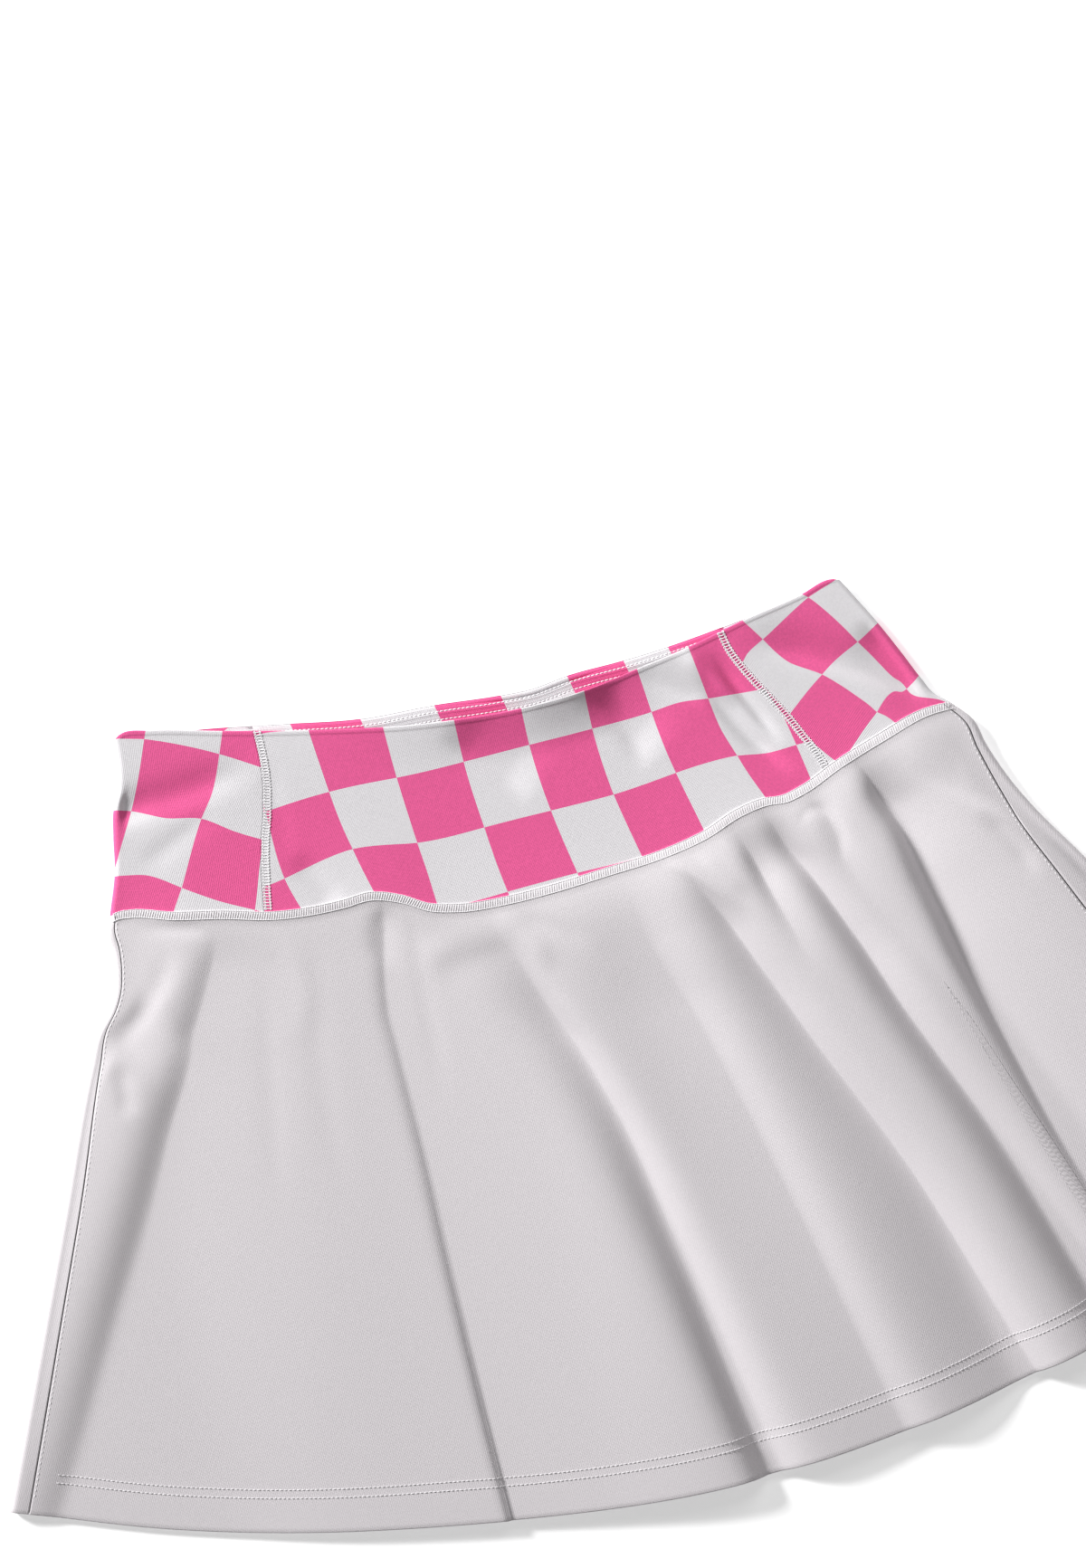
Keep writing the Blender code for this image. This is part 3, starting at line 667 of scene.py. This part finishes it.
# The places of the checks' corners on each panel, and of a few points between and beyond them, so
# that the lines bend with the cloth: (count across, count down, x, y)
CHECK_CORNERS = {
    "front": (
        (0.4, 0, -105, -10.6), (0.67, 0, -97, -11.8), (1, 0, -86.5, -13), (2, 0, -52, -13.5),
        (3, 0, -18.3, -14), (4, 0, 13.7, -14), (5, 0, 44.5, -14), (6, 0, 70.2, -13.3), (7, 0, 96.3, -13),
        (8, 0, 122.5, -14), (0, 1, -115.3, -46.6), (1, 1, -84, -44.8), (2, 1, -51.4, -46),
        (3, 1, -18.9, -46.4), (4, 1, 13.1, -46.1), (5, 1, 43.8, -45.9), (6, 1, 72.9, -45),
        (6.5, 1, 87, -43.8), (7, 1, 100.4, -45.3), (7.6, 1, 117, -46.6), (8, 1, 127.5, -47.2),
        (7, 1.5, 102.5, -60), (8, 1.45, 132.2, -60), (0, 2, -114.2, -79.4), (0.5, 2, -98, -76),
        (1, 2, -79.7, -73.7), (2, 2, -49.4, -78.2), (3, 2, -16.9, -78.8), (4, 2, 15.5, -78.7),
        (5, 2, 46.1, -78.5), (6, 2, 77.1, -75.7), (7, 2, 107.1, -74.8), (7.5, 2, 121, -77),
        (8, 2, 135.4, -76.6), (0, 3, -105, -111), (1, 3, -72.5, -106), (2, 3, -47, -110.8),
        (3, 3, -13.5, -110.9), (4, 3, 20.5, -110.2), (5, 3, 52, -110.2), (6, 3, 84, -108),
        (7, 3, 118.5, -107), (8, 3, 139.5, -108),
    ),
    "left": (
        (2, -0.35, -125.7, -4.2), (0.6, 0, -176.3, 4.4), (1, 0, -162.7, 0.5), (2, 0, -130, -14.9),
        (2.6, 0, -112.3, -25.8), (2, 0.65, -138.8, -33.5), (0.73, 1, -185.6, -28.2), (1, 1, -177.1, -31),
        (1.5, 1, -161.5, -38.3), (2, 1, -145.6, -42.5), (2.5, 1, -133, -51.3), (3, 1, -119.3, -59.4),
        (1, 2, -192.8, -58.6), (1.5, 2, -177, -62.2), (2, 2, -162.4, -71.9), (2.5, 2, -147, -82.1),
        (3, 2, -131.3, -90.4), (2, 2.37, -168.7, -81.8), (-1, 1, -239, 0), (0, 1, -208, -15),
        (-1, 2, -255, -29), (0, 2, -224, -44), (0, 3, -239, -73),
    ),
    "right": (
        (0.58, 1, 124.8, -13.3), (0.87, 0, 154.6, -7.6), (1, 1.47, 119.9, -33), (1, 1.32, 123.3, -29.3),
        (1, 1, 132.2, -24.4), (1, 0, 157.8, -10.4), (1, -0.56, 174.3, -4.6), (1.5, 1, 142, -38.3),
        (2, 2, 133.2, -64), (2, 1, 155.3, -47.3), (2, 0, 175.4, -36.4), (2, -0.42, 187, -29.8),
        (2.51, 2, 143.3, -77.5), (2.5, 1, 164.5, -56.4), (2.5, 0, 183.8, -50.2), (2.76, 0, 188.2, -57.2),
        (2.9, 2, 151, -87.9), (3, 1.77, 159.4, -85.2), (3, 1, 176.1, -70.8), (3, 0.6, 186.7, -63.2),
        (3, 0.3, 190, -64.4), (3, 0, 192.5, -63.6), (3, -0.25, 199.5, -59), (3.31, 1, 183.2, -77.9),
        (3.1, 0, 193.7, -66), (3.35, 0, 200, -69.7), (3.6, 0, 208, -73.4), (1, -2, 212, 20),
        (2, -2, 229, -6), (3, -2, 247, -33), (4, -1, 237, -75),
    ),
}
PLATE_UNIT = 100.0  # millimetres, so that the numbers in the charts' equations stay small

# Where the checks' edges meet the back waist: (across, count)
BACK_CHECKS = (
    (-200, -1), (-169, 0), (-137, 1), (-126, 2), (-94.2, 3), (-61.5, 4), (-26, 5), (5.6, 6),
    (38.3, 7), (65.9, 8), (87.9, 9), (117.6, 10), (149, 11), (181, 12),
)
BACK_SLANT = 0.22  # how far they lean to the right for each millimetre down
BACK_CHECKS_RISE = 3.0  # a row of them starts this far above the back waist
back_count = curve(BACK_CHECKS)


def back_checks_at(x, below):
    rows = (below + BACK_CHECKS_RISE) / CHECK_SIZE
    return np.stack(np.broadcast_arrays(back_count(x - BACK_SLANT * below), rows), axis=-1)


def plate_terms(x, y, points):
    """What each point, and the plane under them all, adds to a thin plate bent through them."""
    squared = (x[..., None] - points[:, 0]) ** 2 + (y[..., None] - points[:, 1]) ** 2
    bends = squared * np.log(squared + 1e-9)
    return np.concatenate([bends, np.stack([np.ones_like(x), x, y], axis=-1)], axis=-1)


def chart(corners):
    """A function that gives the checks' two counts at a place, bent smoothly through the corners."""
    rows = np.array(corners, float)
    counts, points = rows[:, :2], rows[:, 2:] / PLATE_UNIT
    terms = plate_terms(*points.T, points)
    size = len(points)
    system = np.zeros((size + 3, size + 3))
    system[:size] = terms
    system[size:, :size] = terms[:, size:].T
    weights = np.linalg.solve(system, np.concatenate([counts, np.zeros((3, 2))]))

    def counts_at(x, y):
        return plate_terms(*np.broadcast_arrays(x / PLATE_UNIT, y / PLATE_UNIT), points) @ weights

    return counts_at


checks_at = {panel: chart(corners) for panel, corners in CHECK_CORNERS.items()}


# ---------------------------------------------------------------- the panels


def front_skirt_across(down):
    """Fractions across the front skirt, in columns that follow its valleys and its other lines."""
    width = skirt_width(down)
    half = SIDE_SEAM_GAP / 2
    lines = [path(down) for path in valley_paths]
    lines.insert(1, line_from_left_seam(down))
    lines.insert(-1, line_from_right_seam(down))
    lines.insert(0, (left_turn(down) + half) / width)
    lines.append(1 - (right_turn(down) + half) / width)
    gores = []
    for left, right, columns in zip(lines, lines[1:], COLUMNS_BETWEEN):
        steps = np.linspace(0, 1, columns + 1)[:-1]
        crowded = (1 - np.cos(steps * math.pi)) / 2
        gores.append(blend(left, right, blend(steps, crowded, COLUMNS_CROWD)))
    return np.concatenate([*gores, lines[-1]], axis=1)


def cloth_metres(x, y):
    """The skirt's own two coordinates, in metres."""
    return np.stack(np.broadcast_arrays(x, y), axis=-1) * MM


def make_front_skirt(material):
    down = skirt_rows()[:, None]
    across = front_skirt_across(down)
    place = front_skirt_place(across, down)
    top = skirt_top(across, down)
    uv = cloth_metres(*place)
    return cloth("front_skirt_cloth", to_frame(*place, top), under(place, top, SKIRT_WALL), uv, material)


def make_back_skirt(material):
    rows = []
    half = SIDE_SEAM_GAP / 2
    for down in skirt_rows():
        width = skirt_width(down)
        left_in, right_in = (
            np.linspace(turned(down) - half, SIDE_HEIGHT / 2, TURN_COLUMNS + 1)[:-1] / width
            for turned in (left_turn, right_turn)
        )
        run = (SIDE_RUN, SIDE_RUN_COLUMNS, SKIRT_WALL)
        left, share = turn(width, left_in, *run, lambda inwards: skirt_top(inwards, down))
        right, _ = turn(width, right_in, *run, lambda inwards: skirt_top(1 - inwards, down))
        share = np.concatenate([share, np.ones(BACK_COLUMNS - 1), share[::-1]])
        row = []
        for (left_inwards, left_z), (right_inwards, right_z) in zip(left, right):
            middle = np.linspace(left_inwards[-1], 1 - right_inwards[-1], BACK_COLUMNS + 1)[1:-1]
            across = np.concatenate([left_inwards, middle, 1 - right_inwards[::-1]])
            height = np.concatenate([left_z, np.full(BACK_COLUMNS - 1, left_z[-1]), right_z[::-1]])
            place = between(front_skirt_place, back_skirt_place, across, down, share)
            row.append(to_frame(*place, height))
        rows.append([*row, cloth_metres(*place)])
    return cloth_of_rows("back_skirt_cloth", rows, material)


def yoke_panel_across(columns, down):
    """Fractions across the yoke, from one panel seam to the other."""
    half = SEAM_GAP / 2 / yoke_width(down)
    steps = np.linspace(0, 1, columns + 1)
    return blend(left_panel_seam(down) + half, right_panel_seam(down) - half, steps)


def make_front_yoke(material):
    down = yoke_rows()[:, None]
    across = yoke_panel_across(FRONT_YOKE_COLUMNS, down)
    place = front_yoke_place(across, down)
    top = yoke_top(across, down)
    uv = checks_at["front"](*place)
    thick = YOKE_WALL + WAIST_BEAD_THICKER["front"] * waist_bead(down)
    return cloth("front_yoke_cloth", to_frame(*place, top), under(place, top, thick), uv, material)


def make_side_yoke(panel, side, seam, material):
    """The cloth from a seam on the front, round the side at this fraction across, to the back."""
    rows = []
    for down in yoke_rows():
        width = yoke_width(down)
        thick = YOKE_WALL + WAIST_BEAD_THICKER["side"] * waist_bead(down)
        seam_in = abs(side - seam(down)) - SEAM_GAP / 2 / width
        on_front = np.linspace(seam_in, SIDE_HEIGHT / 2 / width, SIDE_YOKE_COLUMNS + 1)[:-1]
        faces, share = turn(width, on_front, seam_in * width, SIDE_YOKE_BACK_COLUMNS, thick,
                            lambda inwards: yoke_top(abs(side - inwards), down))
        row = []
        for inwards, height in faces:
            place = between(front_yoke_place, back_yoke_place, abs(side - inwards), down, share)
            row.append(to_frame(*place, height))
        edge_x = front_yoke_place(side, down)[0]
        unrolled = blend(place[0], 2 * edge_x - place[0], share)
        rows.append([*row, checks_at[panel](unrolled, place[1])])
    return cloth_of_rows(panel + "_side_yoke_cloth", rows, material)


def make_back_yoke(material):
    down = yoke_rows()[:, None]
    place = back_yoke_place(yoke_panel_across(BACK_COLUMNS, down), down)
    inside = YOKE_WALL + WAIST_BEAD_THICKER["back"] * waist_bead(down)
    uv = back_checks_at(place[0], down * YOKE_LENGTH)
    return cloth("back_yoke_cloth", to_frame(*place, 0.0), to_frame(*place, inside), uv, material)


def facing_height(below):
    """The facing's upper face: a folded edge, and a furrow along each row of stitches."""
    furrows = sum(np.exp(-(((below - row) / FURROW_HALF) ** 2)) for row in FACING_ROWS)
    fold = np.exp(-(((below - FACING_FOLD["below"]) / FACING_FOLD["half"]) ** 2))
    flat = YOKE_WALL + FACING_CLEAR + FACING_WALL
    return flat + FACING_FOLD["rise"] * fold - FURROW_DEPTH * furrows


def make_back_facing(material):
    across = np.linspace(*FACING_SPAN, FACING_COLUMNS + 1)
    drop = facing_drop(blend(*WAIST_ENDS, across))
    below = blend(drop, FACING_DEPTH, np.linspace(0, 1, FACING_STEPS + 1)[:, None])
    place = back_yoke_place(across, below / YOKE_LENGTH)
    outer, inner = to_frame(*place, facing_height(below)), to_frame(*place, YOKE_WALL + SEAM_GAP)
    return cloth("back_facing_cloth", outer, inner, back_checks_at(place[0], below), material)


# ---------------------------------------------------------------- sewing

RUNNING = ((-0.8, 0.0, -0.2), (-0.5, 0.0, 0.45), (0.5, 0.0, 0.45), (0.8, 0.0, -0.2))
# Stitches in millimetres. "points" has the first point, its bend, the last point's bend and the last
# point, each along the seam, across it and up from the cloth. "pitch" is from one stitch to the next,
# "thread" is the thread's radius and "uneven" the share by which the stitches' sizes vary.
STITCHES = {
    "band rung": {
        "pitch": 1.15, "thread": 0.2, "uneven": 0.06,
        "points": ((-0.35, -1.9, -0.2), (-0.3, -1.5, 0.15), (0.3, 1.5, 0.15), (0.35, 1.9, -0.2))},
    "band edge": {
        "pitch": 1.15, "thread": 0.17, "uneven": 0.1,
        "points": ((-0.65, 0.0, -0.1), (-0.4, 0.2, 0.25), (0.4, 0.2, 0.25), (0.65, 0.0, -0.1))},
    "ladder rung": {
        "pitch": 1.42, "thread": 0.26, "uneven": 0.08,
        "points": ((-0.15, -1.2, 0.0), (-0.15, -0.8, 0.22), (0.15, 0.8, 0.22), (0.15, 1.2, 0.0))},
    "ladder loop": {
        "pitch": 1.42, "thread": 0.24, "uneven": 0.1,
        "points": ((-0.5, -0.35, 0.0), (-0.65, 0.75, 0.2), (0.65, 0.75, 0.2), (0.5, -0.35, 0.0))},
    "facing": {"pitch": 2.1, "thread": 0.27, "uneven": 0.06, "points": RUNNING},
    "side seam": {
        "pitch": 2.6, "thread": 0.19, "uneven": 0.08,
        "points": ((-0.7, 0.0, -0.25), (-0.4, 0.0, 0.2), (0.4, 0.0, 0.2), (0.7, 0.0, -0.25))},
    "hem": {"pitch": 2.1, "thread": 0.15, "uneven": 0.06, "points": RUNNING},
}
STITCH_INPUTS = {
    "Pitch": "NodeSocketFloat", "First": "NodeSocketVector", "First bend": "NodeSocketVector",
    "Last bend": "NodeSocketVector", "Last": "NodeSocketVector", "Thread": "NodeSocketFloat",
    "Unevenness": "NodeSocketFloat", "Material": "NodeSocketMaterial",
}

BAND_LINES = (BAND_WIDTH / 2, 0.25, BAND_WIDTH)  # its rungs and its two edges, below the yoke's seam
BAND_IN_FROM_SIDE, BAND_POINTS = 3.0, 900  # and how many points draw each of their paths
LADDER_WIDTH = 3.4  # the stitches along the yoke's panel seams
LADDER_LINES = (0.16, 0.5, 0.84)  # its two rows of loops, and its rungs between them
SIDE_STITCHES_IN = 1.2  # from the side seam
# Where the other stitching runs: the fractions from and to, and how many points draw its path
PANEL_SEAM_RUN = (0.008, 0.985, 160)
FACING_RUN = (0.04, 0.96, 300)
SIDE_SEAM_RUN = (0.02, 0.97, 200)
HEM_RUN = (0.03, 0.96, 700)
PROBE = 0.003  # the step, across and down, that feels which way the cloth faces


def stitch_tree():
    """Geometry nodes that lay one stitch again and again along a path, and their inputs' names."""
    tree = bpy.data.node_groups.new("stitches", "GeometryNodeTree")

    def socket(label, kind, in_out="INPUT"):
        return tree.interface.new_socket(label, in_out=in_out, socket_type=kind).identifier

    def add(kind, settings=(), **sockets):
        return add_node(tree, kind, settings, sockets)

    socket("Geometry", "NodeSocketGeometry")
    names = {label: socket(label, kind) for label, kind in STITCH_INPUTS.items()}
    socket("Geometry", "NodeSocketGeometry", "OUTPUT")
    given = add("NodeGroupInput").outputs
    path = add("GeometryNodeMeshToCurve", Mesh=given["Geometry"])
    places = add("GeometryNodeResampleCurve", {"mode": "LENGTH"}, Curve=path.outputs["Curve"],
                 Length=given["Pitch"])
    bow = add("GeometryNodeCurvePrimitiveBezierSegment", {"mode": "POSITION"}, Resolution=6,
              Start=given["First"], Start_Handle=given["First bend"],
              End_Handle=given["Last bend"], End=given["Last"])
    round_thread = add("GeometryNodeCurvePrimitiveCircle", {"mode": "RADIUS"}, Resolution=5,
                       Radius=given["Thread"])
    stitch = add("GeometryNodeCurveToMesh", Curve=bow.outputs["Curve"],
                 Profile_Curve=round_thread.outputs["Curve"], Fill_Caps=True)
    up = add("GeometryNodeInputNamedAttribute", {"data_type": "FLOAT_VECTOR"}, Name="up")
    along = add("GeometryNodeInputTangent")
    turned = add("FunctionNodeAxesToRotation", {"primary_axis": "Z", "secondary_axis": "X"},
                 Primary_Axis=up.outputs["Attribute"], Secondary_Axis=along.outputs["Tangent"])
    least, most = (
        add("ShaderNodeMath", {"operation": operation}, i0=1.0, i1=given["Unevenness"]).outputs[0]
        for operation in ("SUBTRACT", "ADD")
    )
    uneven = add("FunctionNodeRandomValue", {"data_type": "FLOAT"}, Seed=7, i2=least, i3=most)
    laid = add("GeometryNodeInstanceOnPoints", Points=places.outputs["Curve"],
               Instance=stitch.outputs["Mesh"], Rotation=turned.outputs["Rotation"],
               Scale=uneven.outputs[1])
    real = add("GeometryNodeRealizeInstances", Geometry=laid.outputs["Instances"])
    smooth = add("GeometryNodeSetShadeSmooth", Geometry=real.outputs["Geometry"])
    coloured = add("GeometryNodeSetMaterial", Geometry=smooth.outputs["Geometry"],
                   Material=given["Material"])
    add("NodeGroupOutput", Geometry=coloured.outputs["Geometry"])
    return tree, names


def sew(name, stitch, node, paths, tree, names, material):
    """One piece of thread work: the same stitch along each of the paths on the cloth."""
    points, ups = (np.concatenate(values) for values in zip(*paths))
    starts = np.cumsum([0] + [len(path) for path, _ in paths])
    edges = [(i, i + 1) for start, end in zip(starts, starts[1:]) for i in range(start, end - 1)]
    mesh = bpy.data.meshes.new(name + "_path")
    mesh.from_pydata(points.tolist(), edges, [])
    mesh.attributes.new("up", "FLOAT_VECTOR", "POINT").data.foreach_set("vector", ups.ravel())
    seam = linked(name + "_path", mesh)
    modifier = seam.modifiers.new("stitches", "NODES")
    modifier.node_group = tree
    sizes = STITCHES[stitch]
    first, first_bend, last_bend, last = (tuple(np.array(point) * MM) for point in sizes["points"])
    given = {"Pitch": sizes["pitch"] * MM, "First": first, "First bend": first_bend,
             "Last bend": last_bend, "Last": last, "Thread": sizes["thread"] * MM,
             "Unevenness": sizes["uneven"], "Material": material}
    for label, value in given.items():
        modifier[names[label]] = value
    seen = seam.evaluated_get(bpy.context.evaluated_depsgraph_get())
    stitches = bpy.data.meshes.new_from_object(seen)
    stitches.name = name
    bpy.data.objects.remove(seam)
    piece = linked(name, stitches)
    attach(piece, "root")
    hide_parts(node)


def on_cloth(place, top, across, down):
    """A path on the upper face of a layer, and the way the cloth faces along it."""

    def at(across, down):
        return to_frame(*place(across, down), top(across, down))

    across, down = np.broadcast_arrays(across, down)
    along = at(across + PROBE, down) - at(across - PROBE, down)
    below = at(across, down + PROBE) - at(across, down - PROBE)
    up = np.cross(below, along)
    return at(across, down), up / np.linalg.norm(up, axis=-1, keepdims=True)


def seams():
    """Each piece of thread work: its name, its stitch, the node it goes with and its paths."""
    skirt = (front_skirt_place, skirt_top)
    inset = BAND_IN_FROM_SIDE / skirt_width(0.0)
    across = np.linspace(inset, 1 - inset, BAND_POINTS)
    middle, *edges = (on_cloth(*skirt, across, below / SKIRT_LENGTH) for below in BAND_LINES)
    yield "yoke_seam_rungs", "band rung", "front_skirt", [middle]
    yield "yoke_seam_edges", "band edge", "front_skirt", edges

    down = np.linspace(*PANEL_SEAM_RUN)
    for name, seam, inwards in (("left", left_panel_seam, 1), ("right", right_panel_seam, -1)):
        lines = [seam(down) + inwards * LADDER_WIDTH * share / yoke_width(down) for share in LADDER_LINES]
        paths = [on_cloth(front_yoke_place, yoke_top, line, down) for line in lines]
        left, middle, right = paths[::inwards]
        left = tuple(values[::-1] for values in left)  # so that its loops turn outwards too
        yield name + "_panel_rungs", "ladder rung", "front_yoke", [middle]
        yield name + "_panel_loops", "ladder loop", "front_yoke", [left, right]

    facing = (back_yoke_place, lambda across, down: facing_height(down * YOKE_LENGTH))
    across = np.linspace(*FACING_RUN)
    rows = [on_cloth(*facing, across, below / YOKE_LENGTH) for below in FACING_ROWS]
    yield "facing_rows", "facing", "back_facing", rows

    down = np.linspace(*SIDE_SEAM_RUN)
    left, right = (
        (turned(down) + SIDE_STITCHES_IN) / skirt_width(down) for turned in (left_turn, right_turn)
    )
    sides = [on_cloth(*skirt, line, down) for line in (left, 1 - right)]
    yield "side_seam_stitches", "side seam", "front_skirt", sides

    across = np.linspace(*HEM_RUN)
    rows = [on_cloth(*skirt, across, 1 - above / SKIRT_LENGTH) for above in HEM_ROWS]
    yield "hem_rows", "hem", "front_skirt", rows


def sew_all(material):
    tree, names = stitch_tree()
    for seam in seams():
        sew(*seam, tree, names, material)


# ---------------------------------------------------------------- camera, light and floor

PICTURE_SCALE = 2.34  # picture pixels to a millimetre
PICTURE_SIZE = (1200, 1733)
WAIST_PIXEL = (529.0, 726.0)  # the middle of the waist in the picture
ROLL = math.radians(14.0)  # the garment's tilt in the picture
LENS, SENSOR = 100.0, 36.0
CAMERA_REACH = 10.0  # in metres
FLOOR_HALF, FLOOR_BELOW = 3.0, 0.0002  # in metres


def make_camera():
    """A camera that looks straight down on the middle of the picture."""
    data = bpy.data.cameras.new("camera")
    data.lens, data.sensor_width, data.clip_end = LENS, SENSOR, CAMERA_REACH
    camera = linked("camera", data)
    right, lower = ((size / 2 - pixel) / PICTURE_SCALE for size, pixel in zip(PICTURE_SIZE, WAIST_PIXEL))
    x = right * math.cos(ROLL) - lower * math.sin(ROLL)
    y = -right * math.sin(ROLL) - lower * math.cos(ROLL)
    distance = PICTURE_SIZE[1] / PICTURE_SCALE * LENS / SENSOR + YOKE_TOP
    camera.location = to_frame(x, y, distance)
    camera.rotation_euler = (0.0, 0.0, -ROLL)
    bpy.context.scene.camera = camera


def make_light(name, bearing, height, distance, size, power):
    """A soft area light. Its bearing is in degrees clockwise from the top of the picture."""
    turned, lift = math.radians(bearing) + ROLL, math.radians(height)
    level = math.cos(lift)
    out = Vector((math.sin(turned) * level, math.cos(turned) * level, math.sin(lift)))
    data = bpy.data.lights.new(name, "AREA")
    data.energy, data.size = power, size
    light = linked(name, data)
    light.location = out * distance
    light.rotation_euler = out.to_track_quat("Z", "Y").to_euler()


def make_floor():
    """A plain white floor just under the garment."""
    nodes = Nodes("floor_white", 0.9)
    nodes.surface(Base_Color=(0.95, 0.95, 0.95, 1.0), Emission_Color=WHITE, Emission_Strength=0.4)
    corners = np.array([(-1, -1), (1, -1), (1, 1), (-1, 1)]) * FLOOR_HALF
    points = np.column_stack([corners, np.full(4, -FLOOR_BELOW)])
    smooth_mesh("floor", points, np.array([[0, 1, 2, 3]]), nodes.material)


def make_world(strength):
    world = bpy.data.worlds.new("studio")
    world.use_nodes = True
    background = world.node_tree.nodes["Background"]
    background.inputs["Color"].default_value = WHITE
    background.inputs["Strength"].default_value = strength
    bpy.context.scene.world = world


# ---------------------------------------------------------------- making

materials = {
    "checked_knit": checked_knit("checked_knit", PINK, PALE),
    "skirt_knit": plain_knit("skirt_knit", SKIRT_GREY),
}
# The sheets of cloth: the node, its slot, its width and length when it is flat (m), its flat area
# (m2), and what makes it
SHEETS = (
    ("front_skirt", "skirt_knit", (0.65, 0.34), 0.161, make_front_skirt),
    ("back_skirt", "skirt_knit", (0.69, 0.34), 0.167, make_back_skirt),
    ("front_yoke", "checked_knit", (0.275, 0.11), 0.0215, make_front_yoke),
    ("left_side_yoke", "checked_knit", (0.15, 0.11), 0.0127,
     partial(make_side_yoke, "left", 0.0, left_panel_seam)),
    ("right_side_yoke", "checked_knit", (0.13, 0.10), 0.0101,
     partial(make_side_yoke, "right", 1.0, right_panel_seam)),
    ("back_yoke", "checked_knit", (0.275, 0.11), 0.0235, make_back_yoke),
    ("back_facing", "checked_knit", (0.345, 0.045), 0.0077, make_back_facing),
)
for node, slot, flat, area, make in SHEETS:
    piece = make(materials[slot])
    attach(piece, "root")
    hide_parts(node)
sew_all(thread_material("thread", THREAD_WHITE))

make_camera()
make_floor()
make_world(0.2)
make_light("key", bearing=-57.0, height=23.0, distance=6.0, size=1.2, power=600.0)
make_light("top", bearing=10.0, height=45.0, distance=1.0, size=0.5, power=2.5)
bpy.context.scene.view_settings.view_transform = "Standard"
